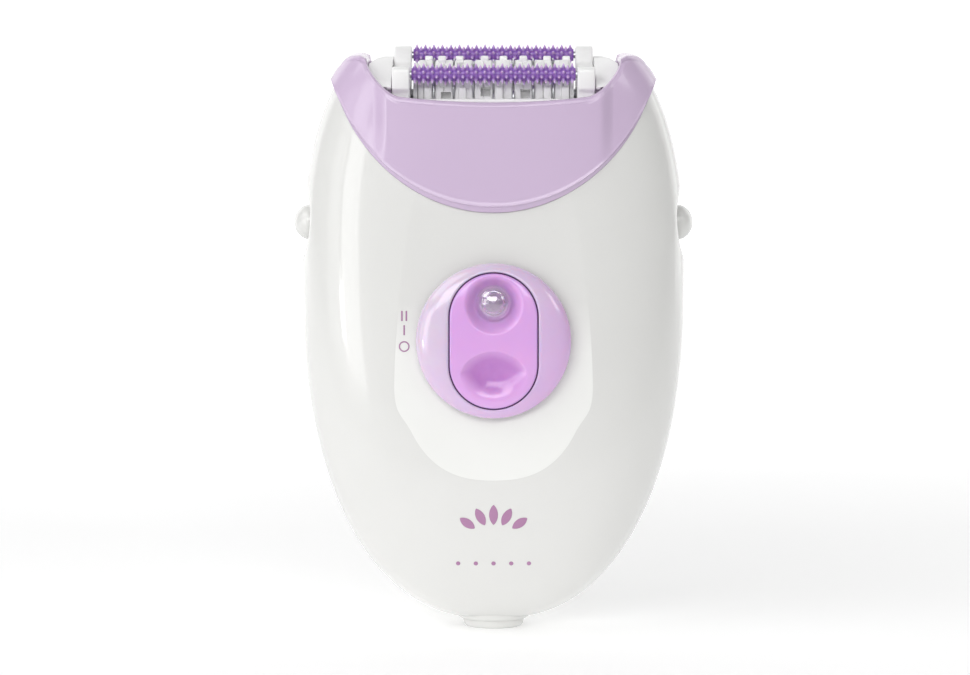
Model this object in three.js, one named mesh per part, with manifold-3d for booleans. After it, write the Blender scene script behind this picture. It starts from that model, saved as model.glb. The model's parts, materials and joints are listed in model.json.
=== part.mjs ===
// Corded rotary epilator, standing upright. Millimetres, +Z up, the front faces -Y, +X is to its right.
// The origin is the middle of the footprint, level with the face of the power inlet.

import * as THREE from 'three';
import { mergeVertices } from 'three/addons/utils/BufferGeometryUtils.js';
import Module from 'manifold-3d';

const wasm = await Module();
wasm.setup();

// ---- Driving dimensions -------------------------------------------------------------------------

// Housing
const bodyBottomZ = 1.6;
const wideZ = 68;                  // height of the widest section
const maxHalfWidth = 37.05;
const lowerWidthPower = 2.25;
const upperWidthReach = 54.8;
const upperWidthPower = 2.6;
const bellyZ = 46;                 // the front runs straight above this height
const bellyDepth = 18.8;
const frontLean = 0.075;           // how far the front falls back per millimetre of height
const lowerFrontPower = 1.9;
const rearZ = 58;
const rearDepth = 22.3;
const lowerRearPower = 2.1;
const upperRearReach = 75;
const upperRearPower = 2.2;
const rearPanelY = 21.4;           // flat panel on the back
const sectionPower = 3;            // how boxy a level section is
const housingTopZ = 116;
const wall = 2;
const gap = 0.3;                   // clearance between neighbouring pieces
const facetZ = 50.5;               // flat facet on the belly, under the switch
const facetY = -17.55;
const facetLean = 0.0595;

// Head cover
const outlineZ = 119.45;           // centre of the ellipse that the cover's lower edge follows
const outlineHalfWidth = 32.5;
const outlineHalfHeight = 36.6;
const collarProud = 0.8;
const collarInset = 1.6;
const neckOuter = 2.0;
const neckInner = 3.4;
const neckTopZ = 99.6;
const wellFloorZ = 100.2;
const wellHalfWidth = 24.2;
const lipZ = 103.6;

// Head
const headBaseHalfWidth = 23.9;
const deckBottomZ = 100.5;
const deckTopZ = 102.9;
const skirtBottomZ = 93;
const skirtWall = 1.6;
const troughHalfLength = 17.2;
const drumRoomHalfLength = 16.1;
const holderOuterX = 19.3;
const shoulderInnerX = 19.7;
const shoulderOuterX = 23.9;
const drumY = -0.2;
const drumZ = 104.35;
const drumHalfLength = 15.4;
const drumRadius = 7.8;
const frontRoller = { y: -9.6, z: 108.7 };
const rearRoller = { y: 7.0, z: 111.8 };
const rollerHalfLength = 15.6;
const rollerRadius = 2.0;
const rollerRidges = 9;
const pinRadius = 0.7;
const tweezerDiscs = 8;
const discPitch = 3.8;
const discTeeth = 8;

// Gears, one above the other behind the right side of the drum
const fineModule = 0.6;
const coarseModule = 0.7;
const drumTeeth = 12;
const couplingTeeth = 14;
const compoundSmallTeeth = 14;
const compoundLargeTeeth = 30;
const pinionTeeth = 10;
const couplingZ = drumZ - (drumTeeth + couplingTeeth) * coarseModule / 2;
const compoundZ = couplingZ - (couplingTeeth + compoundSmallTeeth) * coarseModule / 2;
const motorZ = compoundZ - (compoundLargeTeeth + pinionTeeth) * fineModule / 2;
const gearAxleRadius = 1.0;
const gearPlane = { from: 20.4, to: 22.8 };
const wheelPlane = { from: 17.6, to: 20.0 };

// Motor and the frame that carries it
const motorRadius = 10;
const motorPlate = { from: 12.2, to: 14.6 };
const outerPlate = { from: 24.4, to: 25.8 };
const baseZ = motorZ - motorRadius - 1;

// Switch
const switchZ = 58.7;
const switchRadius = 14.7;
const switchCrown = 3.3;
const insertRadius = 8.4;
const insertStraight = 9;
const lampOffset = 7.2;
const dishOffset = -5.4;

// Release buttons
const buttonZ = 79.7;
const buttonRadius = 3.4;
const buttonTipX = 38.65;
const thumbRecessRadius = 18.5;
const thumbRecessDepth = 1.5;

// Power inlet: an oval socket body in an oval boss
const inletHalfWidth = 6.0;
const inletBoreHalfWidth = 4.6;
const inletOvalness = 0.68;        // depth over width
const bossWall = 1.1;
const bossTopZ = 6;
const pinX = 3.4;
const pinHalfWidth = 0.6;

// Fasteners and electrics
const screwX = 18;
const screwZ = 30;
const screwHeadRadius = 2.1;
const screwShankRadius = 1.1;
const screwSeatY = 15.5;
const screwHeadHeight = 2.1;
const boardFrontY = 6;
const boardThickness = 1.6;
const boardBottomZ = 16;
const boardTopZ = 56;

// ---- Colours ------------------------------------------------------------------------------------

const look = (color, roughness, metalness = 0) =>
  new THREE.MeshStandardMaterial({ color, roughness, metalness });
const pearlWhite = look(0xf2f2ef, 0.25);
const headWhite = look(0xf4f4f2, 0.35);
const lilac = look(0xcbb8d4, 0.25);
const lilacClear = look(0xd9b5e2, 0.12);
const violet = look(0xc58ae0, 0.3);
const rollerPurple = look(0x8a55c0, 0.4);
const clearLens = look(0xf6f0fa, 0.05);
const steel = look(0xb9bcc0, 0.3, 1);
const brass = look(0xc9a24a, 0.35, 1);
const copper = look(0xb3673a, 0.4, 1);
const innerGrey = look(0x9a9ca0, 0.6);
const gearCream = look(0xe8e2d0, 0.5);
const boardGreen = look(0x2f6b3f, 0.5);
const darkPlastic = look(0x2b2b30, 0.5);
const leadRed = look(0xb03030, 0.5);
const leadBlue = look(0x3050a0, 0.5);

// ---- Solids -------------------------------------------------------------------------------------

function solid(geometry) {
  const bare = geometry.index ? geometry.clone() : geometry;
  bare.deleteAttribute('normal');
  bare.deleteAttribute('uv');
  const merged = mergeVertices(bare, 1e-4);
  return new wasm.Manifold(new wasm.Mesh({
    numProp: 3,
    vertProperties: new Float32Array(merged.attributes.position.array),
    triVerts: new Uint32Array(merged.index.array),
  }));
}

function toGeometry(manifold) {
  const cut = manifold.getMesh();
  const geometry = new THREE.BufferGeometry();
  geometry.setAttribute('position', new THREE.BufferAttribute(new Float32Array(cut.vertProperties), 3));
  geometry.setIndex(new THREE.BufferAttribute(new Uint32Array(cut.triVerts), 1));
  geometry.computeVertexNormals();
  return geometry;
}

const epilator = new THREE.Group();

function add(name, shape, material) {
  const geometry = shape instanceof THREE.BufferGeometry ? shape : toGeometry(shape);
  const mesh = new THREE.Mesh(geometry, material);
  mesh.name = name;
  epilator.add(mesh);
}

const range = (count, make) => Array.from({ length: count }, (_, i) => make(i));
const join = (first, ...rest) => rest.reduce((sum, part) => sum.add(part), first);
const cutFrom = (first, ...tools) => tools.reduce((left, tool) => left.subtract(tool), first);

function box(x0, x1, y0, y1, z0, z1) {
  const geometry = new THREE.BoxGeometry(x1 - x0, y1 - y0, z1 - z0);
  geometry.translate((x0 + x1) / 2, (y0 + y1) / 2, (z0 + z1) / 2);
  return solid(geometry);
}

function pathShape(points) {
  return new THREE.Shape(points.map(([a, b]) => new THREE.Vector2(a, b)));
}

// An outline drawn in (y, z) and pushed along X.
function extrudeX(shape, x0, x1, curveSegments = 8) {
  const geometry = new THREE.ExtrudeGeometry(shape, { depth: x1 - x0, bevelEnabled: false, curveSegments });
  geometry.applyMatrix4(new THREE.Matrix4().makeBasis(
    new THREE.Vector3(0, 1, 0), new THREE.Vector3(0, 0, 1), new THREE.Vector3(1, 0, 0)));
  geometry.translate(x0, 0, 0);
  return solid(geometry);
}

// An outline drawn in (x, z) and pushed right through the object along Y.
function extrudeY(shape, curveSegments = 8) {
  const reach = 60;
  const geometry = new THREE.ExtrudeGeometry(shape, { depth: reach, bevelEnabled: false, curveSegments });
  geometry.rotateX(Math.PI / 2);
  geometry.translate(0, reach / 2, 0);
  return solid(geometry);
}

function cylinderX(radius, x0, x1, y, z, segments = 24) {
  const geometry = new THREE.CylinderGeometry(radius, radius, x1 - x0, segments);
  geometry.rotateZ(-Math.PI / 2);
  geometry.translate((x0 + x1) / 2, y, z);
  return solid(geometry);
}

function cylinderY(radius, x, y0, y1, z, segments = 16) {
  const geometry = new THREE.CylinderGeometry(radius, radius, y1 - y0, segments);
  geometry.translate(x, (y0 + y1) / 2, z);
  return solid(geometry);
}

// A turned piece: the profile is (radius, height) and starts and ends on the axis.
function turned(profile, segments = 24) {
  return new THREE.LatheGeometry(profile.map(([r, h]) => new THREE.Vector2(r, h)), segments);
}

// A turned piece whose axis is +Z.
function turnedZ(profile, segments) {
  const geometry = turned(profile, segments);
  geometry.rotateX(Math.PI / 2);
  return solid(geometry);
}

// ---- Housing surface ----------------------------------------------------------------------------

const superArc = (u, power) => Math.max(0, 1 - Math.abs(u) ** power) ** (1 / power);

function halfWidth(z) {
  return z < wideZ
    ? maxHalfWidth * superArc((wideZ - z) / (wideZ - bodyBottomZ), lowerWidthPower)
    : maxHalfWidth * superArc((z - wideZ) / upperWidthReach, upperWidthPower);
}

function frontDepth(z) {
  const straight = bellyDepth - frontLean * (z - bellyZ);
  return z < bellyZ
    ? straight * superArc((bellyZ - z) / (bellyZ - bodyBottomZ), lowerFrontPower)
    : straight;
}

function backDepth(z) {
  return z < rearZ
    ? rearDepth * superArc((rearZ - z) / (rearZ - bodyBottomZ), lowerRearPower)
    : rearDepth * superArc((z - rearZ) / upperRearReach, upperRearPower);
}

// The level sections' heights, close together where the bottom rounds off.
function sectionHeights(low, lowerCount, upperCount) {
  const lower = range(lowerCount, (i) => {
    const turn = (i + 1) / lowerCount * Math.PI / 2;
    return wideZ - (wideZ - low) * Math.cos(turn);
  });
  const upper = range(upperCount, (i) => wideZ + (housingTopZ - wideZ) * (i + 1) / upperCount);
  return [...lower, ...upper];
}

// A point of a level section, which is a superellipse with its own depth in front and behind.
function sectionPoint(turn, width, front, back) {
  const c = Math.cos(turn);
  const s = Math.sin(turn);
  const power = 2 / sectionPower;
  return [
    width * Math.sign(c) * Math.abs(c) ** power,
    (s < 0 ? front : back) * Math.sign(s) * Math.abs(s) ** power,
  ];
}

// An upright oval cylinder round the origin's axis.
function oval(acrossX, ovalness, z0, z1, segments = 32) {
  const geometry = new THREE.CylinderGeometry(acrossX, acrossX, z1 - z0, segments);
  geometry.rotateX(Math.PI / 2);
  geometry.scale(1, ovalness, 1);
  geometry.translate(0, 0, (z0 + z1) / 2);
  return solid(geometry);
}

// The housing's outer form, grown or shrunk by an offset, closed by a point below and a flat on top.
// Hidden faces are made with fewer, larger facets.
function housingForm(offset, fine = true) {
  const around = fine ? 36 : 24;
  const low = bodyBottomZ - offset;
  const heights = fine ? sectionHeights(low, 9, 6) : sectionHeights(low, 6, 4);
  const stretch = (z) => bodyBottomZ + (z - low) * (wideZ - bodyBottomZ) / (wideZ - low);
  const vertices = [0, 0, low];
  for (const z of heights) {
    const source = z < wideZ ? stretch(z) : z;
    const width = halfWidth(source) + offset;
    const front = frontDepth(source) + offset;
    const back = backDepth(source) + offset;
    for (let i = 0; i < around; i += 1) {
      vertices.push(...sectionPoint(i / around * 2 * Math.PI, width, front, back), z);
    }
  }
  vertices.push(0, 0, housingTopZ);
  const last = vertices.length / 3 - 1;
  const at = (ring, i) => 1 + ring * around + i % around;
  const triangles = [];
  for (let i = 0; i < around; i += 1) {
    triangles.push(0, at(0, i + 1), at(0, i));
    triangles.push(last, at(heights.length - 1, i), at(heights.length - 1, i + 1));
    for (let ring = 0; ring < heights.length - 1; ring += 1) {
      triangles.push(at(ring, i), at(ring, i + 1), at(ring + 1, i + 1));
      triangles.push(at(ring, i), at(ring + 1, i + 1), at(ring + 1, i));
    }
  }
  const geometry = new THREE.BufferGeometry();
  geometry.setAttribute('position', new THREE.Float32BufferAttribute(vertices, 3));
  geometry.setIndex(triangles);
  return solid(geometry);
}

// An upright prism with the level section that the housing has at one height, grown by an offset.
function housingPrism(sectionZ, offset, z0, z1) {
  const around = 36;
  const width = halfWidth(sectionZ) + offset;
  const front = frontDepth(sectionZ) + offset;
  const back = backDepth(sectionZ) + offset;
  const corner = (i) => sectionPoint(i / around * 2 * Math.PI, width, front, back);
  const outline = pathShape(range(around, corner));
  const geometry = new THREE.ExtrudeGeometry(outline, { depth: z1 - z0, bevelEnabled: false });
  geometry.translate(0, 0, z0);
  return solid(geometry);
}

// Everything inside the cover's elliptical outline, grown by a margin.
function coverOutline(margin) {
  const shape = new THREE.Shape();
  shape.absellipse(0, outlineZ, outlineHalfWidth + margin, outlineHalfHeight + margin, 0, 2 * Math.PI);
  return extrudeY(shape, 24);
}

// Everything under the cover's top edge: a low lip in front and behind, and a horn on each side.
function underTopEdge() {
  const side = [[0, lipZ], [12, lipZ + 0.1], [19.6, lipZ + 1.2], [22, lipZ + 3.4],
    [23.6, lipZ + 7.4], [25.4, lipZ + 8.4], [33, lipZ + 3.5], [40, lipZ + 3.5]];
  const left = side.slice(1).reverse().map(([x, z]) => [-x, z]);
  return extrudeY(pathShape([[-40, 60], ...left, ...side, [40, 60]]));
}

function belowZ(z) {
  return box(-60, 60, -60, 60, -10, z);
}

function aboveZ(z) {
  return box(-60, 60, -60, 60, z, 140);
}

// ---- Switch frame: x across, u up the slide, h out of the front -------------------------------

const slideLength = Math.hypot(1, frontLean);
const slideUp = new THREE.Vector3(0, frontLean / slideLength, 1 / slideLength);
const slideOut = new THREE.Vector3(0, -1 / slideLength, frontLean / slideLength);
const slideFrame = new THREE.Matrix4()
  .makeBasis(new THREE.Vector3(1, 0, 0), slideUp, slideOut)
  .setPosition(0, -frontDepth(switchZ), switchZ);

function slideSolid(geometry) {
  geometry.applyMatrix4(slideFrame);
  return solid(geometry);
}

function slideBox(x0, x1, u0, u1, h0, h1) {
  const geometry = new THREE.BoxGeometry(x1 - x0, u1 - u0, h1 - h0);
  geometry.translate((x0 + x1) / 2, (u0 + u1) / 2, (h0 + h1) / 2);
  return slideSolid(geometry);
}

function slideTurned(profile, u, segments = 32) {
  const geometry = turned(profile, segments);
  geometry.rotateX(Math.PI / 2);
  geometry.translate(0, u, 0);
  return slideSolid(geometry);
}

function stadium(radius, straight) {
  const shape = new THREE.Shape();
  shape.absarc(0, straight / 2, radius, 0, Math.PI);
  shape.absarc(0, -straight / 2, radius, Math.PI, 2 * Math.PI);
  return shape;
}

function slideStadium(radius, straight, h0, h1) {
  const geometry = new THREE.ExtrudeGeometry(
    stadium(radius, straight), { depth: h1 - h0, bevelEnabled: false, curveSegments: 9 });
  geometry.translate(0, 0, h0);
  return slideSolid(geometry);
}

// All that lies behind the straight front surface, with the slide's clearance on it.
function slideBed() {
  const depth = frontDepth(switchZ);
  const clearance = 0.35;
  const drop = (x) => depth * (1 - superArc(x / maxHalfWidth, sectionPower));
  const top = range(7, (i) => -18 + 6 * i).map((x) => [x, clearance - drop(x)]);
  const shape = pathShape([[-18, -12], [18, -12], ...top.reverse()]);
  const geometry = new THREE.ExtrudeGeometry(shape, { depth: 60, bevelEnabled: false });
  geometry.translate(0, 0, -30);
  geometry.rotateX(Math.PI / 2);
  return slideSolid(geometry);
}

const domeProfile = (radius, crown) => [
  [0, -4], [radius, -4], [radius, 0.9], [radius - 0.7, crown - 1.3], [radius - 2.4, crown - 0.7],
  [radius * 0.5, crown - 0.15], [0, crown],
];

// ---- Shells -------------------------------------------------------------------------------------

function buttonRecess(side) {
  const geometry = new THREE.SphereGeometry(thumbRecessRadius, 36, 24);
  const surfaceX = halfWidth(buttonZ);
  geometry.translate(side * (surfaceX + thumbRecessRadius - thumbRecessDepth), 0, buttonZ);
  return solid(geometry);
}

function housingShell() {
  const outside = cutFrom(housingForm(0), coverOutline(gap / 2));
  const neck = cutFrom(housingForm(-neckOuter, false), aboveZ(neckTopZ), belowZ(78));
  const bossHalfWidth = inletHalfWidth + gap + bossWall;
  const boss = oval(bossHalfWidth, inletOvalness, bodyBottomZ, bossTopZ);
  const filled = join(outside, neck, boss);
  const hollow = cutFrom(housingForm(-wall, false), aboveZ(79));
  const neckHollow = cutFrom(housingForm(-neckInner, false), belowZ(78.5));
  const facetTool = new THREE.BoxGeometry(80, 20, 70);
  facetTool.translate(0, -10, 0);
  facetTool.rotateX(-Math.atan(facetLean));
  facetTool.translate(0, facetY, facetZ);
  return cutFrom(
    filled, hollow, neckHollow, solid(facetTool),
    box(-60, 60, rearPanelY, 60, -10, 140),
    buttonRecess(-1), buttonRecess(1),
    cylinderX(buttonRadius + gap, -45, -28, 0, buttonZ),
    cylinderX(buttonRadius + gap, 28, 45, 0, buttonZ),
    oval(inletHalfWidth + 1.5 * gap, inletOvalness, -5, 20),
  );
}

function addShells() {
  const shell = housingShell();
  const slot = slideBox(-3.5, 3.5, -4.2, 10.2, -6, 4);
  const front = shell.intersect(box(-60, 60, -60, -gap / 2, -10, 140)).subtract(slot);
  add('front_shell', front, pearlWhite);
  const rear = shell.intersect(box(-60, 60, gap / 2, 60, -10, 140));
  const screwHoles = [-1, 1].map((side) =>
    cylinderY(screwHeadRadius + gap, side * screwX, screwSeatY - 5, 30, screwZ));
  add('rear_shell', cutFrom(rear, ...screwHoles), pearlWhite);
}

function addHousingScrews() {
  const shankEndY = -8;
  const headY = screwSeatY + screwHeadHeight;
  const crossHalfLength = 1.3;
  const crossHalfWidth = 0.3;
  const crossDepth = 0.6;
  for (const [name, side] of [['left', -1], ['right', 1]]) {
    const x = side * screwX;
    const bar = (acrossX, acrossZ) => box(
      x - acrossX, x + acrossX, headY - crossDepth, headY + 1, screwZ - acrossZ, screwZ + acrossZ);
    const head = cylinderY(screwHeadRadius, x, screwSeatY, headY, screwZ);
    const shank = cylinderY(screwShankRadius, x, shankEndY, screwSeatY + 0.1, screwZ, 12);
    const cross = join(bar(crossHalfLength, crossHalfWidth), bar(crossHalfWidth, crossHalfLength));
    add(`housing_screw_${name}`, cutFrom(join(head, shank), cross), steel);
  }
}

// ---- Inside the housing -------------------------------------------------------------------------

function addChassis() {
  const footZ = baseZ - 0.1;
  const base = box(-outerPlate.to, outerPlate.to, -11, 11, baseZ - 2.9, baseZ);
  const innerWall = box(motorPlate.from, motorPlate.to, -8.6, 8.6, footZ, compoundZ + 3.6);
  const outerWall = box(outerPlate.from, outerPlate.to, -6, 6, footZ, couplingZ + 2.6);
  const springPost = box(-outerPlate.to, -outerPlate.from - 0.2, -5, 5, footZ, buttonZ + 4.3);
  const cradle = [-16, 4].map((x) => box(x, x + 3, -10, 10, footZ, baseZ + 3.6));
  const bores = [
    cylinderX(1.8, 10, 16, drumY, motorZ),
    cylinderX(motorRadius + gap, -22, 12, drumY, motorZ, 32),
    box(-23.8, -21.6, -5.2, 5.2, baseZ - 10, baseZ + 0.6),
    cylinderX(gearAxleRadius + gap / 2, 10, 30, drumY, couplingZ),
    cylinderX(gearAxleRadius + gap / 2, 10, 30, drumY, compoundZ),
  ];
  add('chassis', cutFrom(join(base, innerWall, outerWall, springPost, ...cradle), ...bores), innerGrey);
  const axleEnd = outerPlate.to - 0.2;
  add('gear_axle_lower', cylinderX(gearAxleRadius, motorPlate.from + 0.2, axleEnd, drumY, compoundZ, 16),
    steel);
  add('gear_axle_upper', cylinderX(gearAxleRadius, wheelPlane.to + 0.35, axleEnd, drumY, couplingZ, 16),
    steel);
}

function addMotor() {
  const can = cutFrom(
    cylinderX(motorRadius, -21, 11.6, drumY, motorZ, 28),
    cylinderX(motorRadius - 1.2, -22, 10.4, drumY, motorZ, 28),
    cylinderX(1.5, 9, 13, drumY, motorZ, 16));
  add('motor_can', can, steel);
  const cap = cutFrom(
    cylinderX(motorRadius - 0.2, -24, -21.3, drumY, motorZ, 28),
    cylinderX(1.5, -22.6, -20, drumY, motorZ, 16));
  add('motor_end_cap', cap, darkPlastic);
  const shaft = cylinderX(1.0, -22.2, wheelPlane.to + 0.6, drumY, motorZ, 16);
  const bore = cylinderX(1.15, -30, 30, drumY, motorZ, 16);
  add('motor_shaft', shaft, steel);
  const poles = pathShape(range(12, (i) => {
    const turn = i / 12 * 2 * Math.PI;
    const radius = i % 4 < 2 ? 7.8 : 6.2;
    return [drumY + radius * Math.cos(turn), motorZ + radius * Math.sin(turn)];
  }));
  add('motor_armature', extrudeX(poles, -18, 8).subtract(bore), copper);
  add('motor_pinion', gearSolid(pinionTeeth, fineModule, wheelPlane, motorZ, 0).subtract(bore), brass);
}

// The board stands behind the switch. Its parts stop a little short of its face.
function addBoard() {
  const halfWidth = 14;
  const partsY = boardFrontY - gap;
  const contacts = { halfWidth: 5, frontY: -12.4, bottomZ: 48, topZ: 57 };
  const capacitor = { radius: 3.6, x: 6, frontY: -6, z: 28 };
  add('circuit_board', box(-halfWidth, halfWidth, boardFrontY, boardFrontY + boardThickness,
    boardBottomZ, boardTopZ), boardGreen);
  add('switch_contact_block', box(-contacts.halfWidth, contacts.halfWidth, contacts.frontY, partsY,
    contacts.bottomZ, contacts.topZ), darkPlastic);
  add('capacitor', cylinderY(capacitor.radius, capacitor.x, capacitor.frontY, partsY, capacitor.z, 20),
    leadBlue);
}

function leadTube(points) {
  const curve = new THREE.CatmullRomCurve3(points.map((p) => new THREE.Vector3(...p)));
  const section = new THREE.Shape();
  section.absarc(0, 0, 0.6, 0, 2 * Math.PI);
  return new THREE.ExtrudeGeometry(section, {
    extrudePath: curve, steps: 10, curveSegments: 3, bevelEnabled: false,
  });
}

function addLeads() {
  for (const [name, y, material] of [['rear', 4, leadRed], ['front', -4, leadBlue]]) {
    const points = [[-22.7, y, baseZ + 1.3], [-22.7, y, baseZ - 5], [-20, y, 52], [-15, 4.9, 48.5 + y / 2]];
    add(`motor_lead_${name}`, solid(leadTube(points)), material);
  }
}

function addInlet() {
  const socketDepth = 9.5;
  const flange = { halfWidth: inletHalfWidth + 1, bottomZ: 9.8, topZ: 11.2 };
  const profile = [[0, socketDepth], [inletBoreHalfWidth, socketDepth], [inletBoreHalfWidth, 0],
    [inletHalfWidth - 0.6, 0], [inletHalfWidth, 0.7], [inletHalfWidth, flange.bottomZ],
    [flange.halfWidth, flange.bottomZ], [flange.halfWidth, flange.topZ], [0, flange.topZ]];
  const geometry = turned(profile, 28);
  geometry.rotateX(Math.PI / 2);
  geometry.scale(1, inletOvalness, 1);
  const holes = [-1, 1].map((side) => oval(pinHalfWidth + gap, 1, 5, 20, 8).translate([side * pinX, 0, 0]));
  add('inlet_socket', cutFrom(solid(geometry), ...holes), pearlWhite);
  const pin = { tipZ: 1.6, chamfer: 0.5, topZ: 13 };
  for (const [name, side] of [['left', -1], ['right', 1]]) {
    const shape = turnedZ([[0, pin.tipZ], [pinHalfWidth - 0.2, pin.tipZ],
      [pinHalfWidth, pin.tipZ + pin.chamfer], [pinHalfWidth, pin.topZ], [0, pin.topZ]], 8);
    add(`inlet_pin_${name}`, shape.translate([side * pinX, 0, 0]), brass);
  }
}

// ---- Gears --------------------------------------------------------------------------------------

// A spur gear in one plane of the train. At phase 0 a tooth points up.
function gearSolid(teeth, module, plane, z, phase) {
  const pitch = teeth * module / 2;
  const backlash = 0.12;
  const half = (radius, share) => (Math.PI * module / 4 * share - backlash) / radius;
  const points = [];
  for (let i = 0; i < teeth; i += 1) {
    const middle = Math.PI / 2 + phase + i / teeth * 2 * Math.PI;
    const flank = [[pitch - 1.1 * module, 1.55], [pitch + 0.85 * module, 0.5]];
    for (const [radius, share] of flank) {
      points.push([radius, middle - half(radius, share)]);
    }
    for (const [radius, share] of flank.reverse()) {
      points.push([radius, middle + half(radius, share)]);
    }
  }
  const outline = points.map(([radius, turn]) =>
    [drumY + radius * Math.cos(turn), z + radius * Math.sin(turn)]);
  return extrudeX(pathShape(outline), plane.from, plane.to);
}

function addGearTrain() {
  const bore = (z) => cylinderX(gearAxleRadius + 0.1, 0, 40, drumY, z, 16);
  // Half a tooth of turn puts a gap opposite the next gear's tooth, on the line between the two axes.
  const couplingPhase = Math.PI / couplingTeeth;
  const largePhase = Math.PI / compoundLargeTeeth;
  const coupling = gearSolid(couplingTeeth, coarseModule, gearPlane, couplingZ, couplingPhase);
  add('coupling_gear', coupling.subtract(bore(couplingZ)), gearCream);
  const compound = join(
    gearSolid(compoundLargeTeeth, fineModule, wheelPlane, compoundZ, largePhase),
    cylinderX(3.2, wheelPlane.to - 0.1, gearPlane.from + 0.1, drumY, compoundZ),
    gearSolid(compoundSmallTeeth, coarseModule, gearPlane, compoundZ, 0));
  add('compound_gear', compound.subtract(bore(compoundZ)), gearCream);
  const drumBore = cylinderX(1.3, 0, 40, drumY, drumZ, 16);
  add('drum_gear', gearSolid(drumTeeth, coarseModule, gearPlane, drumZ, 0).subtract(drumBore), gearCream);
}

// ---- Switch -------------------------------------------------------------------------------------

function addSwitch() {
  const bed = slideBed();
  const disc = cutFrom(
    slideTurned(domeProfile(switchRadius, switchCrown), 0, 36),
    slideStadium(insertRadius + gap / 2, insertStraight, -8, 8), bed);
  add('switch_disc', disc, lilacClear);

  const dish = new THREE.SphereGeometry(12, 36, 24);
  dish.translate(0, dishOffset, switchCrown + 12 - 1.9);
  const niche = slideTurned([[0, 1.2], [4.9, 1.2], [5.4, 8], [0, 8]], lampOffset, 24);
  const lampHole = slideTurned([[0, -8], [2.1, -8], [2.1, 8], [0, 8]], lampOffset, 12);
  const insert = cutFrom(
    slideTurned(domeProfile(switchRadius, switchCrown), 0, 36)
      .intersect(slideStadium(insertRadius - gap / 2, insertStraight, -8, 8)),
    bed, slideSolid(dish), niche, lampHole);
  add('switch_insert', insert, violet);

  const lens = slideTurned([[0, 2.9], [1.5, 2.5], [2.2, 1.5], [3.1, 1.5], [3.0, 2.4], [2.3, 3.4],
    [1.2, 3.9], [0, 4.05]], lampOffset, 16);
  add('lamp_lens', lens, clearLens);
  const led = slideTurned([[0, 0.55], [1.6, 0.55], [1.6, 1.5], [1.0, 2.1], [0, 2.3]], lampOffset, 12);
  add('lamp_led', led, clearLens);

  const plate = slideBox(-8, 8, -7, 7, -4.6, -3.3);
  const stem = slideBox(-3, 3, -3.5, 3.5, -3.4, 0.05);
  add('switch_carrier', join(plate, stem), innerGrey);
}

// ---- Release buttons ----------------------------------------------------------------------------

function addButtons() {
  const domeBase = buttonTipX - 3.0;
  const dome = range(7, (i) => {
    const turn = i / 6 * Math.PI / 2;
    return [buttonRadius * Math.cos(turn), domeBase + 3.0 * Math.sin(turn)];
  });
  const profile = [[0, 30.6], [4.5, 30.6], [4.5, 32.4], [buttonRadius, 32.4], ...dome.slice(0, -1),
    [0, buttonTipX]];
  for (const [name, side] of [['left', -1], ['right', 1]]) {
    const geometry = turned(profile, 18);
    geometry.rotateZ(-side * Math.PI / 2);
    geometry.translate(0, 0, buttonZ);
    const latch = box(Math.min(side * 29.7, side * 31), Math.max(side * 29.7, side * 31),
      -2, 2, buttonZ + 3.2, 91);
    add(`release_button_${name}`, join(solid(geometry), latch), pearlWhite);
    addButtonSpring(name, side);
  }
}

function addButtonSpring(name, side) {
  const turns = 3.5;
  const radius = 2.6;
  const from = 26.5;
  const to = 29.9;
  class Coil extends THREE.Curve {
    getPoint(t) {
      const turn = t * turns * 2 * Math.PI;
      return new THREE.Vector3(
        side * (from + (to - from) * t), radius * Math.cos(turn), buttonZ + radius * Math.sin(turn));
    }
  }
  const section = new THREE.Shape();
  section.absarc(0, 0, 0.35, 0, 2 * Math.PI);
  const coil = new THREE.ExtrudeGeometry(section, {
    extrudePath: new Coil(), steps: 32, curveSegments: 2, bevelEnabled: false,
  });
  add(`button_spring_${name}`, solid(coil), steel);
}

// ---- Head ---------------------------------------------------------------------------------------

function addCollar() {
  const form = housingForm(collarProud).intersect(coverOutline(-gap / 2)).intersect(underTopEdge());
  const well = housingForm(-collarInset, false)
    .intersect(box(-wellHalfWidth, wellHalfWidth, -60, 60, wellFloorZ - 1, 140));
  const below = housingForm(-collarInset, false).intersect(belowZ(wellFloorZ));
  add('head_collar', cutFrom(form, well, below, box(-60, 60, rearPanelY, 60, -10, 140)), lilac);
}

function shoulder(side) {
  const outline = new THREE.Shape();
  outline.moveTo(-12.5, 101);
  outline.lineTo(-12.5, 105.6);
  outline.quadraticCurveTo(-11.8, 107.4, -9.5, 108.1);
  outline.lineTo(6, 111.4);
  outline.quadraticCurveTo(10.5, 111.8, 11.8, 108.5);
  outline.lineTo(12.5, 101);
  return side > 0
    ? extrudeX(outline, shoulderInnerX, shoulderOuterX)
    : extrudeX(outline, -shoulderOuterX, -shoulderInnerX);
}

// The skirt is a straight-sided tube, so that it slides clear of the housing's neck.
function headSkirt() {
  const slideClearance = 0.5;
  const tube = (inset, z0, z1) => housingPrism(neckTopZ, -neckInner - slideClearance - inset, z0, z1)
    .intersect(box(inset - headBaseHalfWidth, headBaseHalfWidth - inset, -60, 60, z0, z1));
  return tube(0, skirtBottomZ, deckBottomZ + 0.1).subtract(tube(skirtWall, skirtBottomZ - 1, deckTopZ));
}

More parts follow.
